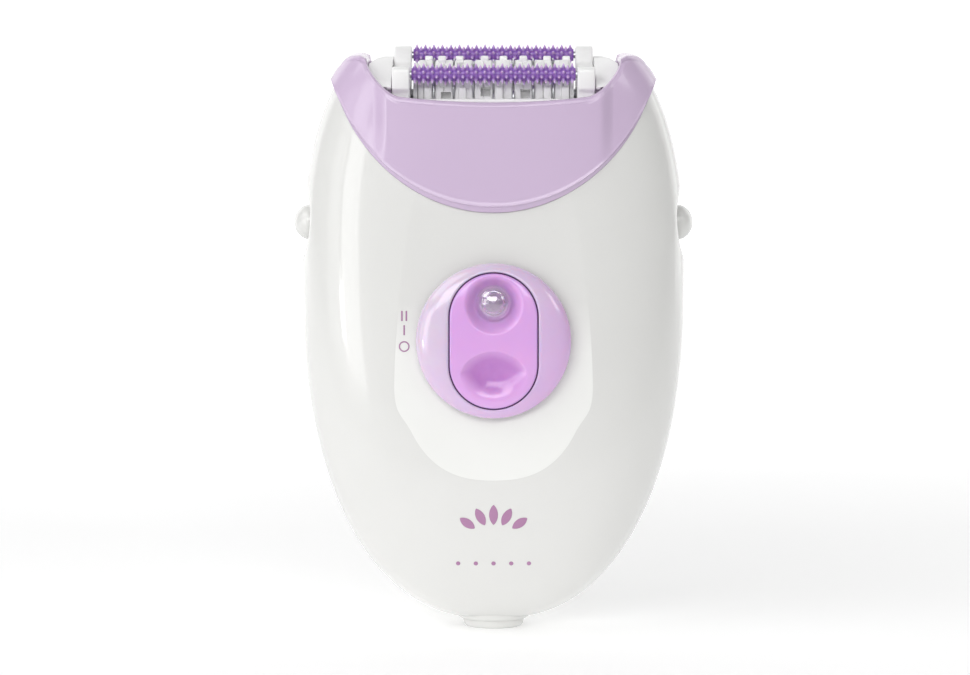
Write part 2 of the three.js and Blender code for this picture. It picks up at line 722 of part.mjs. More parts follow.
function addHeadBase() {
  const inWell = housingForm(-collarInset - gap, false);
  const deck = box(-headBaseHalfWidth, headBaseHalfWidth, -16, 16, deckBottomZ, deckTopZ).intersect(inWell);
  const trough = cylinderX(drumRadius + 1.7, -troughHalfLength, troughHalfLength, drumY, drumZ, 24)
    .intersect(belowZ(102));
  const shoulders = [-1, 1].map((side) => shoulder(side).intersect(inWell));
  const drumWay = drumRadius + 0.8;
  const drumRoom = cylinderX(drumWay, -drumRoomHalfLength, drumRoomHalfLength, drumY, drumZ, 24);
  const drumTop = box(-drumRoomHalfLength, drumRoomHalfLength, drumY - drumWay, drumY + drumWay, drumZ, 130);
  const gearRoom = cylinderX(5.2, 19.5, 23.2, drumY, drumZ, 24);
  const gearWay = box(17.3, 23.2, drumY - 6, drumY + 6, 90, drumZ);
  const skirtWay = box(17.3, 30, drumY - 6.4, drumY + 6.4, 90, couplingZ + 3);
  const axleRoom = cylinderX(1.6, -21.5, 23.7, drumY, drumZ, 16);
  const body = join(deck, headSkirt(), trough, ...shoulders);
  add('head_base', cutFrom(body, drumRoom, drumTop, gearRoom, gearWay, skirtWay, axleRoom), headWhite);
}

// A bearing plate at each end of the drum: it carries the drum and both massage rollers.
function addRollerHolders() {
  const outline = new THREE.Shape();
  outline.moveTo(-11, 103.2);
  outline.lineTo(-11, 105.3);
  outline.lineTo(-11.8, 106.2);
  outline.lineTo(-11.8, 109.4);
  outline.quadraticCurveTo(-11.5, 110.9, -9.8, 110.9);
  outline.lineTo(-7.4, 110.4);
  outline.lineTo(-5.6, 108.4);
  outline.lineTo(3.4, 110.0);
  outline.lineTo(4.6, 113.0);
  outline.quadraticCurveTo(7.2, 114.2, 9.2, 112.6);
  outline.lineTo(9.6, 110.6);
  outline.lineTo(9.6, 103.2);
  for (const [name, side] of [['left', -1], ['right', 1]]) {
    const inner = rollerHalfLength + gap;
    const plate = side > 0
      ? extrudeX(outline, inner, holderOuterX)
      : extrudeX(outline, -holderOuterX, -inner);
    const bores = [
      cylinderX(1.35, -30, 30, drumY, drumZ, 24),
      cylinderX(pinRadius + 0.15, -30, 30, frontRoller.y, frontRoller.z, 16),
      cylinderX(pinRadius + 0.15, -30, 30, rearRoller.y, rearRoller.z, 16),
    ];
    add(`roller_holder_${name}`, cutFrom(plate, ...bores), headWhite);
  }
}

function addRollers() {
  for (const [name, { y, z }] of [['front', frontRoller], ['rear', rearRoller]]) {
    const star = pathShape(range(2 * rollerRidges, (i) => {
      const turn = i / rollerRidges * Math.PI;
      const radius = i % 2 ? 1.4 : rollerRadius;
      return [y + radius * Math.cos(turn), z + radius * Math.sin(turn)];
    }));
    const sleeve = extrudeX(star, -rollerHalfLength, rollerHalfLength);
    const bore = cylinderX(pinRadius + 0.15, -20, 20, y, z, 16);
    add(`${name}_roller`, sleeve.subtract(bore), rollerPurple);
    add(`${name}_roller_axle`, cylinderX(pinRadius, -19, 19, y, z, 12), steel);
  }
}

// ---- Tweezer drum -------------------------------------------------------------------------------

function tweezerOutline(phase) {
  return pathShape(range(4 * discTeeth, (i) => {
    const turn = (Math.floor(i / 4) + [0.04, 0.16, 0.44, 0.56][i % 4]) / discTeeth * 2 * Math.PI + phase;
    const radius = i % 4 === 1 || i % 4 === 2 ? drumRadius : drumRadius - 1.7;
    return [drumY + radius * Math.cos(turn), drumZ + radius * Math.sin(turn)];
  }));
}

function addDrum() {
  const axle = join(
    cylinderX(2.2, -drumHalfLength, drumHalfLength, drumY, drumZ, 12),
    cylinderX(1.2, -19, 23.4, drumY, drumZ, 12));
  add('drum_axle', axle, steel);
  const bore = cylinderX(2.6, -20, 20, drumY, drumZ, 10);
  const firstX = -discPitch * (tweezerDiscs - 1) / 2;
  for (let i = 0; i < tweezerDiscs; i += 1) {
    const x = firstX + discPitch * i;
    const disc = extrudeX(tweezerOutline(i % 2 * Math.PI / discTeeth), x - 0.85, x + 0.85);
    add(`tweezer_disc_${i + 1}`, disc.subtract(bore), headWhite);
  }
  for (let i = 0; i < tweezerDiscs - 1; i += 1) {
    const x = firstX + discPitch * (i + 0.5);
    const plate = extrudeX(pathShape(range(16, (k) => {
      const turn = k / 16 * 2 * Math.PI;
      const radius = k % 4 < 2 ? drumRadius - 0.5 : drumRadius - 2.6;
      return [drumY + radius * Math.cos(turn), drumZ + radius * Math.sin(turn)];
    })), x - 0.3, x + 0.3);
    add(`tweezer_plate_${i + 1}`, plate.subtract(bore), steel);
  }
}

// A fixed ring beside each end disc, which pushes the tweezer plates shut as the drum turns.
function addClampCams() {
  const radius = drumRadius - 1.6;
  const boreRadius = 2.9;
  const middleX = 14.95;
  const halfThickness = 0.4;
  for (const [name, side] of [['left', -1], ['right', 1]]) {
    const x = side * middleX;
    const ring = cutFrom(
      cylinderX(radius, x - halfThickness, x + halfThickness, drumY, drumZ, 24),
      cylinderX(boreRadius, -20, 20, drumY, drumZ, 24));
    add(`clamp_cam_${name}`, ring, headWhite);
  }
}

addShells();
addHousingScrews();
addChassis();
addMotor();
addBoard();
addLeads();
addInlet();
addGearTrain();
addSwitch();
addButtons();
addCollar();
addHeadBase();
addRollerHolders();
addRollers();
addDrum();
addClampCams();

export default epilator;
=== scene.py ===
"""Looks of a corded epilator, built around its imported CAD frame. Lengths are written in millimetres."""

import json
import math
from contextlib import contextmanager

import bmesh
import bpy
import numpy as np
from mathutils import Matrix, Vector

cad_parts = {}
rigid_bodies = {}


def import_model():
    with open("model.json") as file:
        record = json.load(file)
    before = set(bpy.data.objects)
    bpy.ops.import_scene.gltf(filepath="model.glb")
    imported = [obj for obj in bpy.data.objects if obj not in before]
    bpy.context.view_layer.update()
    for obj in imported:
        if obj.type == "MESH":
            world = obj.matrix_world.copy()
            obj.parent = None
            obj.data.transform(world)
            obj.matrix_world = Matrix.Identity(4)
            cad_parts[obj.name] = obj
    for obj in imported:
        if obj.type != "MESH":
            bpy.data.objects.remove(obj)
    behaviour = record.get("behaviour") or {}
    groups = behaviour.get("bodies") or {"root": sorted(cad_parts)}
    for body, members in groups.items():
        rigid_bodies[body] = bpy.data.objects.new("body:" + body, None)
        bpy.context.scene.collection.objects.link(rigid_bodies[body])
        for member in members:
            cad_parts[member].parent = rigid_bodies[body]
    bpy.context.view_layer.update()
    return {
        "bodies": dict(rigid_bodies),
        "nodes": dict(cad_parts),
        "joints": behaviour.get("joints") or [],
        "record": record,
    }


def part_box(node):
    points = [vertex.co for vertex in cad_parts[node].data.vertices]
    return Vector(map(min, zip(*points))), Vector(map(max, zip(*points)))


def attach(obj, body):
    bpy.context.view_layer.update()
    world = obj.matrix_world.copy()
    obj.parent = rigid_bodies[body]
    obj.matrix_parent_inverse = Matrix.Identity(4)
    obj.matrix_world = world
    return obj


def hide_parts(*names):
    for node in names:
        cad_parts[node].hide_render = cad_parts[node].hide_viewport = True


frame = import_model()

MM = 0.001

# ---- Housing form, in millimetres ---------------------------------------------------------------

BODY_BOTTOM_Z = 1.6
WIDE_Z = 68.0
HALF_WIDTH = 37.05
LOWER_WIDTH_POWER = 2.25
UPPER_WIDTH_REACH = 54.8
UPPER_WIDTH_POWER = 2.6
BELLY_Z = 46.0
BELLY_DEPTH = 18.8
FRONT_LEAN = 0.075
LOWER_FRONT_POWER = 1.9
REAR_Z = 58.0
REAR_DEPTH = 22.3
LOWER_REAR_POWER = 2.1
UPPER_REAR_REACH = 75.0
UPPER_REAR_POWER = 2.2
SECTION_POWER = 3.0
WALL = 2.0
# Room between a hole in the shells and what comes through it
CLEARANCE = 0.3
SCREW_SINK_RADIUS = 2.4
SHELL_ROWS, SHELL_COLUMNS = 150, 170
# Half of the parting line's width, and how near the middle plane a point counts as on the parting face
PARTING = 0.08
# The recessed neck under the head cover
NECK_Z = (79.5, 99.6)
NECK_INSET = 1.95
NECK_WALL = 1.45

# The flat facet on the belly. Near its lower edge it stands out a little on both sides of its middle.
FACET_Z = 50.5
FACET_Y = -17.55
FACET_LEAN = 0.0595
ARCH_HEIGHT = 0.36
ARCH_REACH = 14.0
ARCH_HALF_WIDTH = 19.5
# Height over which that arch fades out upwards
ARCH_END = (41.0, 50.0)
# Height over which the facet's whiter colour, a painted highlight, fades out upwards
FACET_HIGHLIGHT_FADE = (56.0, 66.0)

# Head cover. Its lower edge follows an ellipse, and the shells end under it.
OUTLINE_Z = 119.45
OUTLINE_HALF_WIDTH = 32.5
OUTLINE_HALF_HEIGHT = 36.6
SHELL_TOP_Z = 106.4
SHELL_CLEARANCE = 0.03
SEAM = 0.05
COLLAR_PROUD = 0.8
LIP_Z = 103.6
HORN_TIP_X = 25.6
WELL_HALF_WIDTH = 24.2
WELL_FLOOR_Z = 100.2
FACE_HALF_WIDTH = 20.2
FACE_SET_BACK = 1.0
HORN_FLARE = 0.7
LIP_RADIUS = 0.95
COVER_WALL = 1.2
COVER_COLUMNS = 560
FACE_ROWS = 32
EDGE_ROWS = 21
INNER_ROWS = 10
# The lower rim, as (how proud of the housing, height above the edge, share of the horns' flare).
RIM_PROFILE = ((-0.6, 0.0, 0.0), (0.04, 0.0, 0.0), (0.46, 0.75, 0.5), (0.6, 0.98, 0.9),
               (0.78, 1.08, 1.0), (0.9, 1.2, 1.0), (0.88, 1.36, 1.0), (0.8, 1.5, 1.0))

# Power inlet
INLET_HALF_WIDTH = 6.0
INLET_OVALNESS = 0.68
BOSS_HALF_WIDTH = 7.25

# Switch
SWITCH_Z = 58.7
SWITCH_RADIUS = 14.7
SWITCH_CROWN = 3.3
INSERT_RADIUS = 8.4
INSERT_STRAIGHT = 9.0
LENS_RADIUS = 3.4
BOWL_RADIUS = 5.7
BOWL_DEPTH = 2.0
SCOOP_DEPTH = 1.5
# Places up the slide, from the switch's middle
LAMP_U = 7.2
BOWL_U = 6.9
SCOOP_U = -6.9

# Release buttons
BUTTON_Z = 79.7
BUTTON_RADIUS = 3.4
RECESS_DEPTH = 1.5
RECESS_HALF_HEIGHT = 7.6
RECESS_HALF_DEPTH = 8.5


def node_centre(name):
    """A CAD node's middle, in millimetres."""
    low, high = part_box(name)
    return (low + high) / 2 / MM


def node_span(name, axis):
    """A CAD node's lowest and highest coordinate along an axis, in millimetres."""
    low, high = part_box(name)
    return low[axis] / MM, high[axis] / MM


# ---- Meshes -------------------------------------------------------------------------------------

def new_piece(name, vertices, faces):
    """A mesh object from millimetre coordinates."""
    mesh = bpy.data.meshes.new(name)
    mesh.from_pydata([tuple(c * MM for c in v) for v in vertices], [], faces)
    mesh.update()
    piece = bpy.data.objects.new(name, mesh)
    bpy.context.scene.collection.objects.link(piece)
    return piece


def grid_faces(rows, columns, wrap=False):
    """Quads over a grid of rows x columns points; wrap joins the last column to the first."""
    faces = []
    for r in range(rows - 1):
        for c in range(columns if wrap else columns - 1):
            a = r * columns + c
            b = r * columns + (c + 1) % columns
            faces.append((a, b, b + columns, a + columns))
    return faces


def ring_faces(rows, columns):
    """Quads over closed loops of points that form a closed ring: the last loop joins the first."""
    faces = grid_faces(rows, columns, wrap=True)
    last = (rows - 1) * columns
    for i in range(columns):
        j = (i + 1) % columns
        faces.append((last + i, last + j, j, i))
    return faces


def capped_faces(rows, columns):
    """Quads over closed loops of points, with a face across the first loop and one across the last."""
    last = (rows - 1) * columns
    caps = [tuple(reversed(range(columns))), tuple(range(last, last + columns))]
    return caps + grid_faces(rows, columns, wrap=True)


@contextmanager
def editing(piece):
    """Opens a piece's mesh for editing, and writes it back afterwards."""
    work = bmesh.new()
    work.from_mesh(piece.data)
    yield work
    work.to_mesh(piece.data)
    work.free()


def fix_normals(piece):
    """Faces point out of the closed mesh."""
    with editing(piece) as work:
        bmesh.ops.recalc_face_normals(work, faces=work.faces)
    return piece


def merge_points(piece):
    """Joins points that coincide."""
    with editing(piece) as work:
        bmesh.ops.remove_doubles(work, verts=work.verts, dist=0.002 * MM)
    return piece


def apply_modifiers(piece):
    """Bakes a piece's modifiers into its mesh."""
    graph = bpy.context.evaluated_depsgraph_get()
    graph.update()
    mesh = bpy.data.meshes.new_from_object(piece.evaluated_get(graph), depsgraph=graph)
    piece.modifiers.clear()
    piece.data = mesh
    return piece


def cut(piece, *tools, operation="DIFFERENCE"):
    """Cuts the piece by closed tools, or joins them to it, and deletes the tools."""
    for tool in tools:
        fix_normals(tool)
        step = piece.modifiers.new("cut", "BOOLEAN")
        step.operation = operation
        step.solver = "MANIFOLD"
        step.object = tool
        apply_modifiers(piece)
        bpy.data.objects.remove(tool)
    return piece


def append(piece, other):
    """Adds another closed mesh to the piece as it is."""
    with editing(piece) as work:
        work.from_mesh(other.data)
    bpy.data.objects.remove(other)
    return piece


def intersect(piece, tool):
    """Keeps the part of the piece that lies inside the tool."""
    return cut(piece, tool, operation="INTERSECT")


def round_edges(piece, width, segments=3, angle=40):
    """Rounds a piece's edges that are sharper than an angle, by a width in millimetres."""
    step = piece.modifiers.new("edges", "BEVEL")
    step.width = width * MM
    step.segments = segments
    step.limit_method = "ANGLE"
    step.angle_limit = math.radians(angle)
    step.harden_normals = False
    return apply_modifiers(piece)


def smooth(piece, angle=35):
    """Smooth shading, with edges above an angle kept sharp."""
    piece.data.shade_smooth()
    piece.data.set_sharp_from_angle(angle=math.radians(angle))
    return piece


def lathe(name, profile, segments, matrix):
    """A turned piece. The profile is (radius, height) about local Z, from axis to axis or closed."""
    closed = profile[0][0] > 0
    rows = len(profile)
    vertices = []
    for radius, height in profile:
        for i in range(segments):
            turn = i / segments * 2 * math.pi
            vertices.append(matrix @ Vector((radius * math.cos(turn), radius * math.sin(turn), height)))
    faces = ring_faces(rows, segments) if closed else grid_faces(rows, segments, wrap=True)
    return fix_normals(merge_points(new_piece(name, vertices, faces)))


def prism(name, outline, low, high, matrix):
    """A flat outline pushed from one local height to another."""
    vertices = [matrix @ Vector((a, b, h)) for h in (low, high) for a, b in outline]
    return fix_normals(new_piece(name, vertices, capped_faces(2, len(outline))))


def place(piece, body, slot, material, *nodes):
    """Rides the piece on its body, gives it its finish and hides the CAD nodes that it stands in for."""
    piece.data.materials.clear()
    piece.data.materials.append(material)
    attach(piece, body)
    if nodes:
        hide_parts(*nodes)
    return piece


# Frames for turned pieces: local Z becomes the named direction.
ALONG_X = Matrix(((0, 0, 1), (1, 0, 0), (0, 1, 0))).to_4x4()
ALONG_MINUS_X = Matrix(((0, 0, -1), (-1, 0, 0), (0, 1, 0))).to_4x4()
ALONG_MINUS_Y = Matrix(((1, 0, 0), (0, 0, -1), (0, 1, 0))).to_4x4()
# An upright frame that squeezes circles to the inlet's oval
OVAL = Matrix.Diagonal((1, INLET_OVALNESS, 1, 1))


def at(x, y, z, turn=Matrix.Identity(4)):
    return Matrix.Translation((x, y, z)) @ turn


def axis_through(centre):
    """The frame of a piece that turns about a line along X through a point."""
    return at(0, centre.y, centre.z, ALONG_X)


def rod(radius, low, high, segments, matrix):
    """A plain cylinder along its frame's Z, to cut or join with."""
    return lathe("rod", [(0, low), (radius, low), (radius, high), (0, high)], segments, matrix)


def block(x0, x1, y0, y1, z0, z1):
    """A plain box, to cut or join with."""
    outline = [(x0, y0), (x1, y0), (x1, y1), (x0, y1)]
    return prism("block", outline, z0, z1, Matrix.Identity(4))


# ---- Housing surface ----------------------------------------------------------------------------

def super_arc(u, power):
    return np.maximum(0, 1 - np.abs(u) ** power) ** (1 / power)


def half_width(z):
    lower = super_arc((WIDE_Z - z) / (WIDE_Z - BODY_BOTTOM_Z), LOWER_WIDTH_POWER)
    upper = super_arc((z - WIDE_Z) / UPPER_WIDTH_REACH, UPPER_WIDTH_POWER)
    return HALF_WIDTH * np.where(z < WIDE_Z, lower, upper)


def front_depth(z):
    lower = super_arc(np.clip((BELLY_Z - z) / (BELLY_Z - BODY_BOTTOM_Z), 0, 1), LOWER_FRONT_POWER)
    return (BELLY_DEPTH - FRONT_LEAN * (z - BELLY_Z)) * lower


def rear_depth(z):
    lower = super_arc((REAR_Z - z) / (REAR_Z - BODY_BOTTOM_Z), LOWER_REAR_POWER)
    upper = super_arc((z - REAR_Z) / UPPER_REAR_REACH, UPPER_REAR_POWER)
    return REAR_DEPTH * np.where(z < REAR_Z, lower, upper)


def section_point(angle):
    """The unit level section at an angle from +X: 1 wide at the side, 1 deep in front and behind."""
    c, s = np.cos(angle), np.sin(angle)
    radius = (np.abs(c) ** SECTION_POWER + np.abs(s) ** SECTION_POWER) ** (-1 / SECTION_POWER)
    return c * radius, s * radius


def form_point(angle, z, offset=0.0):
    """A point of the housing form, grown by an offset."""
    cx, cy = section_point(angle)
    depth = np.where(cy < 0, front_depth(z), rear_depth(z))
    return (half_width(z) + offset) * cx, (depth + offset) * cy, z


def outline_low(x, margin=0.0):
    """Height of the cover's lower edge."""
    u = np.minimum(np.abs(x) / (OUTLINE_HALF_WIDTH + margin), 1)
    return OUTLINE_Z - (OUTLINE_HALF_HEIGHT + margin) * np.sqrt(1 - u * u)


def step_up(value, low, high):
    t = np.clip((value - low) / (high - low), 0, 1)
    return t * t * (3 - 2 * t)


def recess(y, z):
    """Depth of the finger recess round each release button."""
    across = np.abs(y) / RECESS_HALF_DEPTH
    along = np.abs(z - BUTTON_Z) / RECESS_HALF_HEIGHT
    reach = np.clip(1 - across ** 2.5 - along ** 2.5, 0, 1)
    return RECESS_DEPTH * reach * reach * (3 - 2 * reach)


def front_surface_y(x, z):
    """The front's y where no facet cuts it."""
    side = np.minimum(np.abs(x) / half_width(z), 1)
    return -front_depth(z) * super_arc(side, SECTION_POWER)


def facet_arch(x, z):
    """How far the facet stands out beside its middle line near its lower edge, where it isn't flat."""
    side = abs(x)
    rise = ARCH_HEIGHT * (side / ARCH_REACH) ** 2 * max(0, 1 - (side / ARCH_HALF_WIDTH) ** 6)
    return rise * (1 - float(step_up(z, *ARCH_END)))


def facet_y(x, z):
    """The facet's y, extended past its edges."""
    return FACET_Y + FACET_LEAN * (z - FACET_Z) - facet_arch(x, z)


def shell_top(angle):
    """Height of the shells' upper edge in each direction, found by repeated halving of the error."""
    top = np.full_like(angle, 100.0)
    for _ in range(60):
        x = form_point(angle, top)[0]
        top = 0.5 * top + 0.5 * np.minimum(outline_low(x, SHELL_CLEARANCE), SHELL_TOP_Z)
    return top


def shell_grid(first, last, rows, columns):
    """Outer surface of one half of the housing, from the inlet up to the cover's edge."""
    angle = np.linspace(first, last, columns)[None, :]
    share = np.linspace(0, 1, rows)[:, None]
    low = BODY_BOTTOM_Z + 0.5
    # The rows lie closer together at the rounded bottom.
    z = low + (shell_top(angle) - low) * (1 - np.cos(share * math.pi / 2)) ** 1.05
    x, y, z = np.broadcast_arrays(*form_point(angle, z))
    x = x - np.sign(x) * recess(y, z)
    return np.stack([x, y, z], axis=-1).reshape(-1, 3)


def add_facet(piece):
    """Flattens the belly onto the facet, with a crisp crease round it. The arch is taken out of the
    mesh while it is cut by a plane, then put back."""
    normal = Vector((0, -1, FACET_LEAN)).normalized()
    point = Vector((0, FACET_Y, FACET_Z)) * MM
    with editing(piece) as work:
        for vertex in work.verts:
            vertex.co.y += facet_arch(vertex.co.x / MM, vertex.co.z / MM) * MM
        everything = work.verts[:] + work.edges[:] + work.faces[:]
        bmesh.ops.bisect_plane(work, geom=everything, plane_co=point, plane_no=normal)
        for vertex in work.verts:
            vertex.co.y -= facet_arch(vertex.co.x / MM, vertex.co.z / MM) * MM
            vertex.co.y = max(vertex.co.y, facet_y(vertex.co.x / MM, vertex.co.z / MM) * MM)
    return piece


def mark_facet(piece):
    """Notes which faces lie on the facet, for the material's painted highlight there."""
    flag = piece.data.attributes.new("facet", "FLOAT", "FACE")
    for i, face in enumerate(piece.data.polygons):
        x, _, z = face.center / MM
        flag.data[i].value = float(front_surface_y(x, z) < facet_y(x, z) - 0.001)
    return piece


def thicken(piece, thickness):
    step = piece.modifiers.new("wall", "SOLIDIFY")
    step.thickness = thickness * MM
    step.offset = -1
    step.use_even_offset = True
    return apply_modifiers(piece)


def half_shell(name, first, last):
    points = shell_grid(first, last, SHELL_ROWS, SHELL_COLUMNS)
    return new_piece(name, points, grid_faces(SHELL_ROWS, SHELL_COLUMNS))


def neck_band(first, last):
    """The recessed band that the head cover slides over."""
    rows, columns = 24, 90
    angle = np.linspace(first, last, columns)[None, :]
    z = np.linspace(*NECK_Z, rows)[:, None]
    points = np.stack(np.broadcast_arrays(*form_point(angle, z, -NECK_INSET)), axis=-1).reshape(-1, 3)
    return thicken(new_piece("neck", points, grid_faces(rows, columns)), NECK_WALL)


def inlet_boss():
    """The oval collar round the inlet, on the housing's bottom."""
    profile = [(0, 1.7), (BOSS_HALF_WIDTH - 0.8, 1.7), (BOSS_HALF_WIDTH - 0.4, 1.95),
               (BOSS_HALF_WIDTH - 0.1, 2.4), (BOSS_HALF_WIDTH, 3.0), (BOSS_HALF_WIDTH, 5.2), (0, 5.2)]
    return lathe("boss", profile, 96, OVAL)


def shell_openings():
    """Tools for the inlet's and the buttons' holes."""
    inlet = rod(INLET_HALF_WIDTH + CLEARANCE, -5, 20, 96, OVAL)
    button_frames = [at(0, 0, BUTTON_Z, turn) for turn in (ALONG_X, ALONG_MINUS_X)]
    buttons = [rod(BUTTON_RADIUS + CLEARANCE, 28, 45, 64, frame) for frame in button_frames]
    return [inlet, *buttons]


def seam_margin(piece, sign):
    """Pulls the parting face back from the middle plane, so that the seam shows as a fine line."""
    for vertex in piece.data.vertices:
        if abs(vertex.co.y) < PARTING * MM:
            vertex.co.y = sign * PARTING * MM
    return piece


def build_front_shell():
    piece = half_shell("front_shell_fine", -math.pi + 1e-4, -1e-4)
    piece = thicken(add_facet(piece), WALL)
    piece = seam_margin(piece, -1)
    cut(fix_normals(piece), neck_band(-math.pi + 0.004, -0.004), operation="UNION")
    front_half = block(-20, 20, -20, -PARTING, 0, 10)
    cut(piece, intersect(inlet_boss(), front_half), operation="UNION")
    cut(piece, *shell_openings())
    return smooth(mark_facet(piece), 28)


def build_rear_shell():
    panel_y = node_span("rear_shell", 1)[1]
    piece = half_shell("rear_shell_fine", 1e-4, math.pi - 1e-4)
    for vertex in piece.data.vertices:
        vertex.co.y = min(vertex.co.y, panel_y * MM)
    piece = seam_margin(thicken(piece, WALL), 1)
    cut(fix_normals(piece), neck_band(0.004, math.pi - 0.004), operation="UNION")
    rear_half = block(-20, 20, PARTING, 20, 0, 10)
    cut(piece, intersect(inlet_boss(), rear_half), operation="UNION")
    screws = [node_centre(f"housing_screw_{side}") for side in ("left", "right")]
    screw_frames = [at(screw.x, 0, screw.z, ALONG_MINUS_Y) for screw in screws]
    cut(piece, *shell_openings(), *[rod(SCREW_SINK_RADIUS, -30, -10, 48, frame) for frame in screw_frames])
    return smooth(piece, 28)


# ---- Head cover ---------------------------------------------------------------------------------

def cover_top(x):
    """Height of the cover's top edge: a low lip in the middle and a horn on each side."""
    side = np.abs(x)
    lip = LIP_Z + 1.2 * np.minimum(side / 19.6, 1) ** 2
    corner = np.clip((side - 18) / 6.2, 0, 1) ** 1.5
    rise = 6.8 * (1 - (1 - corner) ** (2 / 3))
    cap = 0.6 * step_up(side, HORN_TIP_X - 1.8, HORN_TIP_X)
    beyond_tip = np.maximum(side - HORN_TIP_X, 0)
    fall = 0.055 * beyond_tip ** 2 + 0.3 * beyond_tip * step_up(beyond_tip, 1, 5)
    return lip + rise + cap - fall


def cover_surface(angle, z, proud=COLLAR_PROUD, flare=1.0):
    """The cover's outer face at a height, standing proud of the housing's form. Outside the middle face
    it is set back, and the horns flare outwards."""
    spread = HORN_FLARE * step_up(z, 98, 109) * np.cos(angle) ** 2
    x, y, z = form_point(angle, z, proud + flare * spread)
    beyond_face = step_up(np.abs(x), FACE_HALF_WIDTH, FACE_HALF_WIDTH + 2.6)
    set_back = flare * FACE_SET_BACK * beyond_face * step_up(z, 88, 101)
    return x, y - np.sign(y) * set_back * (1 - np.abs(np.cos(angle)) ** 6), z


def edge_height(angle, edge, low=80.0, high=114.0):
    """The height at which the cover's outer face meets an edge curve, a function of x."""
    low = np.full_like(angle, low)
    high = np.full_like(angle, high)
    for _ in range(40):
        middle = (low + high) / 2
        x = cover_surface(angle, middle)[0]
        above = middle > edge(x)
        low, high = np.where(above, low, middle), np.where(above, middle, high)
    return (low + high) / 2


def cover_angles():
    """Directions round the cover, closer together at the horns' steep inner corners."""
    turn = np.linspace(0, 2 * math.pi, 4000, endpoint=False)
    x = form_point(turn, 105.0, COLLAR_PROUD)[0]
    density = 1 + 2.5 * np.exp(-((np.abs(x) - 22.8) / 2.2) ** 2)
    share = np.concatenate([[0], np.cumsum(density)[:-1]]) / density.sum()
    return np.interp(np.linspace(0, 1, COVER_COLUMNS, endpoint=False), share, turn)


def well_wall(angle, top):
    """Where the wall of the cover's well meets the top edge, in each direction."""
    cx, cy = section_point(angle)
    depth = np.where(cy < 0, front_depth(top), rear_depth(top)) - COVER_WALL
    x = WELL_HALF_WIDTH * np.clip(cx * (1 + 0.1 * np.sin(2 * angle) ** 2), -1, 1)
    return x, depth * cy


def cover_outside(angle, low, top, radius):
    """Loops up the cover's outside: a chamfered rim that ends in a fine bead, then the face."""
    scale = np.minimum(1, (top - low) / 4.5)
    rows = [cover_surface(angle, low + height * scale, proud, flare) for proud, height, flare in RIM_PROFILE]
    face_low = low + RIM_PROFILE[-1][1] * scale
    face_high = top - radius - 0.02
    for share in np.linspace(0, 1, FACE_ROWS)[1:]:
        rows.append(cover_surface(angle, face_low + (face_high - face_low) * share))
    return rows


def cover_edge(outer, well, radius):
    """Loops over the cover's top edge, rounded on both sides, from its outer face to its well."""
    across = np.subtract(well, outer)
    rows = []
    for share in (1 - np.cos(np.linspace(0, math.pi, EDGE_ROWS))) / 2:
        x, y = outer + across * share
        rounding = np.minimum(np.minimum(share, 1 - share) * np.hypot(*across) / radius, 1)
        rows.append((x, y, cover_top(x) - radius * (1 - np.sqrt(1 - (1 - rounding) ** 2))))
    return rows


def cover_inside(angle, well, low, radius):
    """Loops down the well's wall and on, behind the face, to the lower rim."""
    well_x, well_y = well
    well_top = cover_top(well_x) - radius
    well_low = np.maximum(low, WELL_FLOOR_Z)
    rows = []
    for share in np.linspace(0.08, 1, INNER_ROWS):
        tuck = step_up(share, 0.05, 0.6)
        z = well_top + (well_low - well_top) * share
        rows.append((well_x, well_y - np.sign(well_y) * tuck, z))
    for share in np.linspace(0.1, 1, INNER_ROWS):
        z = well_low + (low - well_low) * share
        x, y, _ = form_point(angle, z, -1.5)
        keep = step_up(well_low - low, 0.0, 3.0) * share ** 0.2
        rows.append((well_x + (x - well_x) * keep, well_y + (y - well_y) * keep, z))
    return rows


def build_cover():
    """The head cover: a closed ring of loops, with a web in front of each end of the drum."""
    angle = cover_angles()
    top = edge_height(angle, cover_top)
    low = np.minimum(shell_top(angle) + SEAM, top - 1.6)
    outer = np.array(cover_surface(angle, top)[:2])
    well = np.array(well_wall(angle, top))
    width = np.hypot(*(well - outer))
    radius = np.minimum(np.minimum(LIP_RADIUS, width / 2), (top - low) * 0.4)
    rows = [*cover_outside(angle, low, top, radius), *cover_edge(outer, well, radius),
            *cover_inside(angle, well, low, radius)]
    panel_y = node_span("head_collar", 1)[1]
    points = np.concatenate([np.column_stack([x, np.minimum(y, panel_y), z]) for x, y, z in rows])
    piece = fix_normals(new_piece("head_cover", points, ring_faces(len(rows), len(angle))))
    for x0, x1 in ((19.4, 24.3), (-24.3, -19.4)):
        append(piece, block(x0, x1, -9.9, -9.2, 100.6, 106.5))
    return smooth(piece, 50)


# ---- Massage rollers ----------------------------------------------------------------------------

ROLLER_CORE = 1.22
ROLLER_TIP = 2.08
ROLLER_RINGS = 37
SPIKES_PER_RING = 5
# A thorn's outline, as (distance from the roller's axis, half width).
THORN = ((1.1, 0.5), (1.3, 0.4), (1.55, 0.27), (1.8, 0.18), (2.02, 0.1), (2.08, 0.04))


